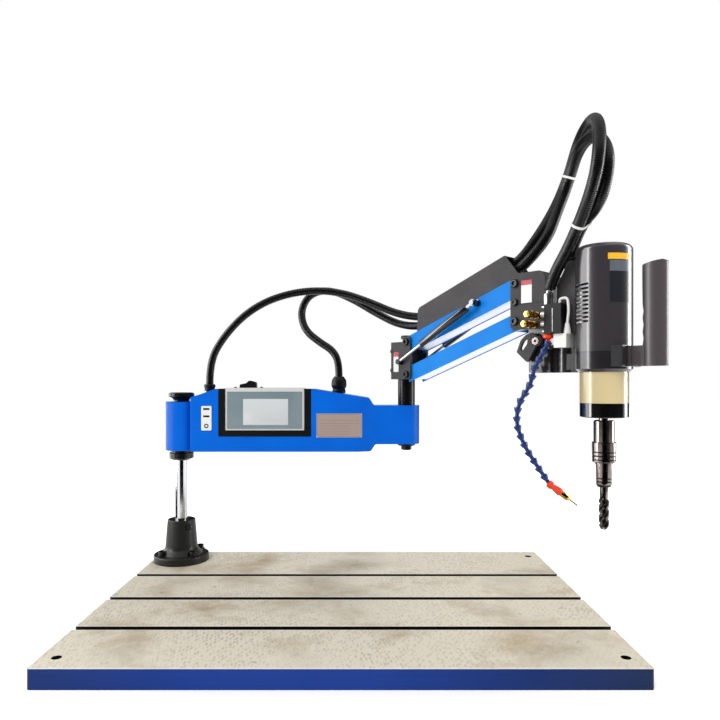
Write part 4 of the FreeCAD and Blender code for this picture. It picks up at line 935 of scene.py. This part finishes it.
class Conduits:
    """The four corrugated conduits and the ties that bundle them."""

    def build(self) -> None:
        """Builds each conduit along its spline, the elbow ones in two stretches."""
        for name, node, route in (
            ("elbow_conduit_upper", "elbow_conduit_upper", ELBOW_UPPER),
            ("elbow_conduit_lower", "elbow_conduit_lower", ELBOW_LOWER),
        ):
            line = route.line()
            split = self.split_share(line)
            near = Conduit(f"{name}_near", node, route, Bend.FIRST_ARM_TO_ELBOW, 0.0, split)
            near.build(line, line[0], True)
            far = Conduit(f"{name}_far", node, route, Bend.ELBOW_TO_LINK, split, 1.0)
            lengths = line_lengths(line)
            joint = frame_at(lengths, line_frames(line), split * lengths[-1]).translation
            far.build(line, joint, True)
        for name, node, route in (
            ("loop_conduit_upper", "loop_conduit_upper", LOOP_UPPER),
            ("loop_conduit_lower", "loop_conduit_lower", LOOP_LOWER),
        ):
            line = route.line()
            Conduit(name + "_ribbed", node, route, Bend.LINK_TO_HEAD, 0.0, 1.0).build(
                line, line[0], True
            )

    def split_share(self, line: Sequence[Vector]) -> float:
        """Returns the share of the length at which a conduit passes the elbow's axis."""
        lengths = line_lengths(line)
        for point, at in zip(line, lengths):
            if point.x > 0.612:
                return at / lengths[-1]
        return 0.7


@dataclass(frozen=True)
class CableTie:
    """A nylon tie round both loop conduits, at a share of the upper one's length."""

    name: str
    share: float
    width: float = 5.0
    thick: float = 1.6

    def build(self, upper: Sequence[Vector], lower: Sequence[Vector]) -> None:
        """Wraps the tie round both lines where it crosses them.

        Args:
            upper: The upper conduit's line, in metres.
            lower: The lower conduit's line.
        """
        lengths = line_lengths(upper)
        place = frame_at(lengths, line_frames(upper), self.share * lengths[-1])
        first = place.translation
        ahead = place.to_3x3() @ Vector((0, 0, 1))
        close = [point for point in lower if (point - first).length < 0.07]
        second = min(close, key=lambda point: abs((point - first).dot(ahead)))
        across = second - first
        across = (across - ahead * across.dot(ahead)).normalized()
        up = ahead.cross(across)
        inside = (LOOP_UPPER.radius + 0.3) * MM
        rings = []
        for radius, side in (
            (inside, -1), (inside + self.thick * MM, -1), (inside + self.thick * MM, 1), (inside, 1),
        ):
            ring = []
            for centre, start in ((second, -90), (first, 90)):
                for step in range(13):
                    angle = math.radians(start + 15 * step)
                    out = across * math.cos(angle) + up * math.sin(angle)
                    ring.append(centre + out * radius + ahead * side * self.width * MM / 2)
            rings.append(ring)
        piece = Piece(self.name, Matrix.Identity(4)).band(rings)
        made = piece.as_object(Finishes.nylon_white, "white_plastic")
        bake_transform(made)


class CableTies:
    """The two ties that hold the loop conduits together."""

    def build(self) -> None:
        """Reads both loops' lines and wraps the ties round them."""
        upper, lower = LOOP_UPPER.line(), LOOP_LOWER.line()
        for tie in (CableTie("loop_tie_back", 0.398), CableTie("loop_tie_front", 0.865)):
            tie.build(upper, lower)


# --------------------------------------------------------------------------- plates and labels
def housing_front(x: float) -> float:
    """Returns the Y of the first arm's front face, which turns in towards the elbow."""
    bend_from, bend_to, radius, half_width = 477.1, 490.5, 40.0, 52.0
    if x <= bend_from:
        return -half_width
    reach = min(x, bend_to) - bend_from
    y = radius - half_width - math.sqrt(radius ** 2 - reach ** 2)
    return y + max(0.0, x - bend_to) * math.tan(math.radians(19.5))


def housing_path(start: float, end: float, out: float = 0.0) -> list[tuple[float, float]]:
    """Follows the first arm's front face, a little in front of it."""
    steps = 24
    points = [start + (end - start) * i / steps for i in range(steps + 1)]
    return [(x, housing_front(x) - out) for x in points]


def motor_path(start: float, end: float, radius: float) -> list[tuple[float, float]]:
    """Follows the motor cover round, between two angles from -Y towards +X."""
    steps = 20
    angles = [math.radians(start + (end - start) * i / steps) for i in range(steps + 1)]
    return [(radius * math.sin(a), -radius * math.cos(a)) for a in angles]


class ArmPlates:
    """The first arm's data plate, its screen, port inserts and console screws."""

    left, right, low, high = 372.5, 493.3, 338.3, 402.0

    def build(self) -> None:
        """Builds each of them on the first arm."""
        self.data_plate()
        self.screen()
        self.port_inserts()
        self.console_screws()

    def data_plate(self) -> None:
        """Makes the plate with its border, its ruled lines and four rivets, left blank."""
        plate = Piece("data_plate")
        plate.strip(housing_path(self.left, self.right), self.low, self.high, 0.6)
        plate.finish("first_arm", Finishes.label_metal, "aluminium")
        lines = Piece("data_plate_rules")
        inset, wide, out, raised = 2.2, 0.7, 0.55, 0.2
        left, right = self.left + inset, self.right - inset
        low, high = self.low + inset, self.high - inset
        for z in (low, high - wide):
            lines.strip(housing_path(left, right, out), z, z + wide, raised)
        for x in (left, right - wide):
            lines.strip(housing_path(x, x + wide, out), low + wide, high - wide, raised)
        for z, end in ((384.0, right - 4), (375.5, right - 4), (368.0, right - 30),
                       (360.5, right - 30), (353.0, right - 30), (345.5, right - 30)):
            lines.strip(housing_path(left + 4, end, out), z, z + 0.6, raised)
        lines.finish("first_arm", Finishes.label_ink, "black_plastic")
        rivets = Piece("data_plate_rivets")
        for x in (self.left + 1.8, self.right - 1.8):
            for z in (self.low + 1.8, self.high - 1.8):
                seat = facing((x, housing_front(x) - 0.5, z), (0, -1, 0))
                rivets.turn([(1.3, 0), (1.3, 0.3), (0.8, 0.8), (0, 1.0)], seat, 12)
        rivets.finish("first_arm", Finishes.zinc, "aluminium")

    def screen(self) -> None:
        """Lays the unlit display behind the middle of the glass."""
        display = Piece("screen_display").box((177.4, -51.45, 371.5), (296.9, -51.1, 440.5), 0.1)
        display.finish("first_arm", Finishes.display, "screen_glass")

    def port_inserts(self) -> None:
        """Fills the port panel's slots and socket with black sockets."""
        ports = Piece("port_inserts")
        for low, high in ((411.5, 416.5), (392.0, 397.0)):
            ports.box((72.1, -54.2, low + 0.1), (88.9, -53.05, high - 0.1), 0.2)
            ports.box((75, -54.35, low + 1.8), (86, -54.1, high - 1.8), 0.1)
        seat = facing((80.5, -53.0, 369.0), (0, -1, 0))
        ports.turn([(3.2, 0.0), (3.2, 1.1), (5.8, 1.1), (5.8, 0.0)], seat, 24)
        ports.finish("first_arm", Finishes.abs_black, "black_plastic")

    def console_screws(self) -> None:
        """Sets two screws in the console's top, beside the rocker."""
        screws = Piece("console_screws")
        for x in (149.7, 220.4):
            seat = facing((x, -12.0, 470.0), (0, 0, 1))
            screws.turn(
                [(4.2, 0), (4.2, 1.2), (3.4, 2.4), (1.8, 2.7), (1.8, 1.2), (0, 1.2)], seat, 20
            )
        screws.finish("first_arm", Finishes.black_oxide, "black_screw")


class HeadPlates:
    """Blank labels on the forks and the motor, and a painted highlight strip on the valve."""

    def build(self) -> None:
        """Builds each of them on the elbow or the head."""
        face = -37.0
        for name, body, left, right, low, high, band in (
            ("fork_label", "elbow", -13.0, 5.0, 513.0, 566.0, 12.0),
            ("knuckle_label", "head", 384.0, 411.0, 663.0, 714.0, 11.0),
        ):
            label = Piece(name, SECOND_ARM)
            label.strip([(left, face), (right, face)], low, high - band, 0.3)
            label.finish(body, Finishes.label_white, "white_plastic")
            header = Piece(name + "_band", SECOND_ARM)
            header.strip([(left, face), (right, face)], high - band, high, 0.3)
            header.finish(body, Finishes.label_red, "white_plastic")
        radius = 57.05
        for name, finish, start, end, low, high in (
            ("motor_amber_label", Finishes.label_amber, -13.0, 44.0, 733.0, 745.5),
            ("motor_dark_label", Finishes.label_dark, -9.5, 46.0, 646.0, 709.0),
            ("motor_label_band", Finishes.label_grey, -9.5, 46.0, 709.0, 731.0),
        ):
            label = Piece(name, SPINDLE_SQUARE)
            label.strip(motor_path(start, end, radius), low, high, 0.25)
            label.finish("head", finish, "motor_grey")
        # Painted highlight: a thin bright zinc strip down the black valve's front stands for a
        # glint.
        highlight_strip = Piece("valve_highlight_strip", SECOND_ARM).box((469.5, -52.2, 594), (470.5, -51.1, 644), 0.1)
        highlight_strip.finish("head", Finishes.zinc, "aluminium")


# --------------------------------------------------------------------------- dressing
Test = Callable[[Vector], bool]


def beyond(start: Point, towards: Point) -> Test:
    """Tests whether a point lies past a plane through start, facing towards."""
    origin, normal = Vector(start), Vector(towards).normalized()
    return lambda point: (point - origin).dot(normal) > 0


def between(start: Point, towards: Point, near: float, far: float) -> Test:
    """Tests whether a point lies from near to far past start, measured towards a side."""
    origin, normal = Vector(start), Vector(towards).normalized()
    return lambda point: near < (point - origin).dot(normal) < far


def round_axis(t: float, z: float, radius: float, before: float = 999.0) -> Test:
    """Tests whether a point lies near an axis across the arm, and nearer than before."""
    return lambda point: math.hypot(point.x - t, point.z - z) < radius and point.y < before


def inside_turning(radius: float) -> Test:
    """Tests whether a point lies nearer the spindle's axis than a radius."""
    return lambda point: math.hypot(point.x - SPINDLE_REACH, point.y) < radius


@dataclass(frozen=True)
class TwoTone:
    """A CAD node whose faces take more than one finish."""

    node: str
    body: str
    slot: str
    base: Finish
    others: tuple[tuple[Finish, Test], ...]

    def build(self) -> bpy.types.Object:
        """Copies and merges the node's mesh, and gives each face its finish.

        Returns:
            The dressed copy, which stands for the node.
        """
        piece = Piece(self.node + "_dressed", Matrix.Identity(4))
        piece.mesh.from_mesh(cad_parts[self.node].data)
        bmesh.ops.remove_doubles(piece.mesh, verts=piece.mesh.verts[:], dist=1e-6)
        to_arm = SECOND_ARM.inverted()
        for face in piece.mesh.faces:
            centre = to_arm @ face.calc_center_median()
            for i, (_, holds) in enumerate(self.others, 1):
                if holds(centre):
                    face.material_index = i
        made = piece.finish(self.body, self.base, self.slot)
        for finish, _ in self.others:
            made.data.materials.append(finish.make())
        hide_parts(self.node)
        return made


ROD_FOOT = (15.7, 539.3)
SPRING_TOP = (259.4, 0.0, 675.0)
SPRING_DOWN = (ROD_FOOT[0] - SPRING_TOP[0], 0.0, ROD_FOOT[1] - SPRING_TOP[2])
LEVER_HUB = (429.0, 575.0)
NOZZLE_TIP = (480.1, -30.0, 244.2)
NOZZLE_AIM = (0.760, 0.281, -0.586)

TWO_TONES = (
    TwoTone("gas_cylinder_front", "gas_cylinder_front", "black_iron", Finishes.black_gloss,
            ((Finishes.zinc, between(SPRING_TOP, SPRING_DOWN, 9.0, 21.0)),)),
    TwoTone("gas_cylinder_rear", "gas_cylinder_rear", "black_iron", Finishes.black_gloss,
            ((Finishes.zinc, between(SPRING_TOP, SPRING_DOWN, 9.0, 21.0)),)),
    TwoTone("gas_rod_front", "gas_rod_front", "chrome", Finishes.chrome,
            ((Finishes.black_oxide, round_axis(*ROD_FOOT, 9.0)),)),
    TwoTone("gas_rod_rear", "gas_rod_rear", "chrome", Finishes.chrome,
            ((Finishes.black_oxide, round_axis(*ROD_FOOT, 9.0)),)),
    TwoTone("chuck_sleeve", "chuck_sleeve", "tool_steel", Finishes.tool_steel,
            ((Finishes.black_oxide, inside_turning(24.1)),)),
    TwoTone("tap_collet", "spindle", "tool_steel", Finishes.tool_steel,
            ((Finishes.black_oxide, inside_turning(16.1)),)),
    TwoTone("coolant_nozzle", "nozzle", "nozzle_orange", Finishes.nozzle_orange,
            ((Finishes.brass, beyond(NOZZLE_TIP, NOZZLE_AIM)),)),
    TwoTone("head_pins", "head", "black_screw", Finishes.black_oxide,
            ((Finishes.tool_steel, round_axis(*LEVER_HUB, 9.0, -46.0)),
             (Finishes.rubber_black, round_axis(*LEVER_HUB, 3.2, -46.0)))),
    TwoTone("air_fittings", "head", "white_plastic", Finishes.abs_white,
            ((Finishes.zinc, lambda p: p.x < 449.9 or (p.x < 470 and 652 < p.z < 683)),
             (Finishes.rubber_black, lambda p: p.x < 476 and p.z >= 683))),
)


class Dresser:
    """Gives every CAD node its finish."""

    def dress(self) -> None:
        """Assigns each node's finish to its material slots, and dresses the two-tone ones."""
        for name, finish in NODE_FINISHES.items():
            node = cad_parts[name]
            material = finish.make()
            if not node.material_slots:
                node.data.materials.append(material)
            for slot in node.material_slots:
                slot.material = material
            log.info("%s: %s", name, finish.name)
        for part in TWO_TONES:
            part.build()


# --------------------------------------------------------------------------- studio
def show_card(name: str, bm: bmesh.types.BMesh, strength: float) -> None:
    """Makes a card that only reflections see.

    Args:
        name: The card's name.
        bm: Its mesh, in metres; it is used up.
        strength: Its brightness, where 1 is white and 0 is black.
    """
    data = bpy.data.meshes.new(name)
    bm.to_mesh(data)
    bm.free()
    card = bpy.data.objects.new(name, data)
    bpy.context.scene.collection.objects.link(card)
    material = bpy.data.materials.new(name)
    material.use_nodes = True
    tree = material.node_tree
    tree.nodes.clear()
    glow = add_node(tree, "Emission", {"Color": (1, 1, 1, 1), "Strength": strength})
    add_node(tree, "OutputMaterial", None, {"Surface": glow.outputs[0]})
    data.materials.append(material)
    card.visible_camera = False
    card.visible_diffuse = False
    card.visible_shadow = False
    card.visible_transmission = False


@dataclass(frozen=True)
class Card:
    """An upright card bent round the spindle, with its angles from -Y towards -X in degrees."""

    name: str
    start: float
    end: float
    reach: float
    strength: float
    low: float = -0.3
    high: float = 5.0

    def build(self) -> None:
        """Bends the card's mesh and shows it."""
        bm = bmesh.new()
        steps = 16
        columns = []
        for i in range(steps + 1):
            angle = math.radians(self.start + (self.end - self.start) * i / steps)
            x = SPINDLE.translation.x - self.reach * math.sin(angle)
            y = SPINDLE.translation.y - self.reach * math.cos(angle)
            columns.append([bm.verts.new((x, y, z)) for z in (self.low, self.high)])
        for (a, b), (c, d) in zip(columns, columns[1:]):
            bm.faces.new((a, c, d, b))
        show_card(self.name, bm, self.strength)


@dataclass
class Studio:
    """White floor and room, soft lamps, reflection cards and the camera."""

    eye: tuple[float, float, float] = (0.488, -1.751, 0.519)
    lens: float = 32.0
    rise: float = 0.0319
    cards: tuple[Card, ...] = (
        Card("dark_card_front", -77, 81, 4.6, 0.0),
        Card("dark_card_left_back", 134, 172, 4.6, 0.0),
        Card("dark_card_right_back", -168, -118, 4.6, 0.0),
        Card("bright_card_left", 81, 91, 2.4, 12.0, 0.1, 2.4),
        Card("soft_card_left", 93, 126, 2.6, 4.0, 0.0, 2.6),
        Card("bright_card_right", -106, -90, 2.4, 14.0, 0.1, 2.4),
    )

    def build(self) -> None:
        """Sets up the floor, world, lamps, cards, camera and view transform."""
        self.floor()
        self.world()
        self.lamps()
        for card in self.cards:
            card.build()
        self.floor_cards()
        self.camera()
        bpy.context.scene.view_settings.view_transform = "Standard"

    @staticmethod
    def seen_directly(tree: bpy.types.NodeTree) -> bpy.types.NodeSocket:
        """Returns 1 for what the camera, a reflection or a clear glass sees."""
        path = add_node(tree, "LightPath")
        seen = path.outputs["Is Camera Ray"]
        for other in ("Is Glossy Ray", "Is Transmission Ray"):
            both = add_node(
                tree, "Math", {"operation": "MAXIMUM"}, {0: seen, 1: path.outputs[other]}
            )
            seen = both.outputs[0]
        return seen

    def floor(self) -> None:
        """Lays a wide white floor, which stays white far off and keeps the near shadow."""
        bm = bmesh.new()
        bmesh.ops.create_grid(bm, x_segments=1, y_segments=1, size=12.0)
        data = bpy.data.meshes.new("floor")
        bm.to_mesh(data)
        bm.free()
        floor = bpy.data.objects.new("floor", data)
        bpy.context.scene.collection.objects.link(floor)
        material = Finish("white_floor_paint", "#f6f6f5", 0.8, specular=0.1).make()
        tree = material.node_tree
        place = add_node(tree, "TexCoord").outputs["Object"]
        away = add_node(
            tree, "VectorMath", {"operation": "DISTANCE", 1: (0.46, -0.3, 0.0)}, {0: place}
        )
        fade = add_node(
            tree,
            "MapRange",
            {"From Min": 0.45, "From Max": 1.3, "To Min": 0.15, "To Max": 0.7},
            {"Value": away.outputs["Value"]},
        )
        strength = add_node(
            tree,
            "Math",
            {"operation": "MULTIPLY"},
            {0: self.seen_directly(tree), 1: fade.outputs["Result"]},
        )
        glow = add_node(
            tree, "Emission", {"Color": (1, 1, 1, 1)}, {"Strength": strength.outputs[0]}
        )
        both = add_node(
            tree,
            "AddShader",
            None,
            {0: tree.nodes["Principled BSDF"].outputs[0], 1: glow.outputs[0]},
        )
        tree.links.new(both.outputs[0], tree.nodes["Material Output"].inputs["Surface"])
        data.materials.append(material)

    @staticmethod
    def floor_cards() -> None:
        """Lays black cards on the studio floor, clear of the plate, for reflections alone."""
        steps = 16
        for name, first, last, near, far in (
            ("dark_floor_front", -48.0, 18.0, 1.06, 5.0),
            ("dark_floor_left", 66.0, 168.0, 0.6, 4.5),
        ):
            bm = bmesh.new()
            rows = []
            for i in range(steps + 1):
                angle = math.radians(first + (last - first) * i / steps)
                x, y = -math.sin(angle), -math.cos(angle)
                rows.append([bm.verts.new((r * x, r * y, 0.003)) for r in (near, far)])
            for (a, b), (c, d) in zip(rows, rows[1:]):
                bm.faces.new((a, c, d, b))
            show_card(name, bm, 0.0)

    def world(self) -> None:
        """Lights softly from all round, and shows white to the camera and in reflections."""
        world = bpy.data.worlds.new("soft_room")
        bpy.context.scene.world = world
        world.use_nodes = True
        tree = world.node_tree
        tree.nodes.clear()
        room = add_node(tree, "Background", {"Color": (1, 1, 1, 1), "Strength": 0.45})
        white = add_node(tree, "Background", {"Color": (1, 1, 1, 1), "Strength": 1.0})
        mix = add_node(
            tree,
            "MixShader",
            None,
            {0: self.seen_directly(tree), 1: room.outputs[0], 2: white.outputs[0]},
        )
        add_node(tree, "OutputWorld", None, {"Surface": mix.outputs[0]})

    def lamps(self) -> None:
        """Hangs three large soft lamps: a key, a fill and one behind."""
        target = Vector((0.55, -0.25, 0.55))
        for name, place, size, power in (
            ("key_lamp", (-0.9, -2.2, 2.6), 1.8, 62.0),
            ("fill_lamp", (2.4, -1.8, 1.6), 1.6, 26.0),
            ("back_lamp", (0.8, 2.2, 2.4), 1.8, 34.0),
        ):
            light = bpy.data.lights.new(name, "AREA")
            light.size = size
            light.energy = power
            lamp = bpy.data.objects.new(name, light)
            lamp.visible_glossy = False
            bpy.context.scene.collection.objects.link(lamp)
            lamp.location = place
            lamp.rotation_euler = (target - Vector(place)).to_track_quat("-Z", "Y").to_euler()

    def camera(self) -> None:
        """Stands the camera level in front of the machine."""
        data = bpy.data.cameras.new("camera")
        data.lens = self.lens
        data.sensor_width = 36.0
        data.shift_y = self.rise
        camera = bpy.data.objects.new("camera", data)
        bpy.context.scene.collection.objects.link(camera)
        camera.location = self.eye
        camera.rotation_euler = (math.radians(90), 0, 0)
        bpy.context.scene.camera = camera


def main() -> None:
    """Builds the studio, the conduits and every dressed sub-assembly in order."""
    logging.basicConfig(level=logging.INFO, format="%(name)s: %(message)s")
    Studio().build()
    Conduits().build()
    CableTies().build()
    ArmPlates().build()
    HeadPlates().build()
    Dresser().dress()


if __name__ == "__main__":
    main()
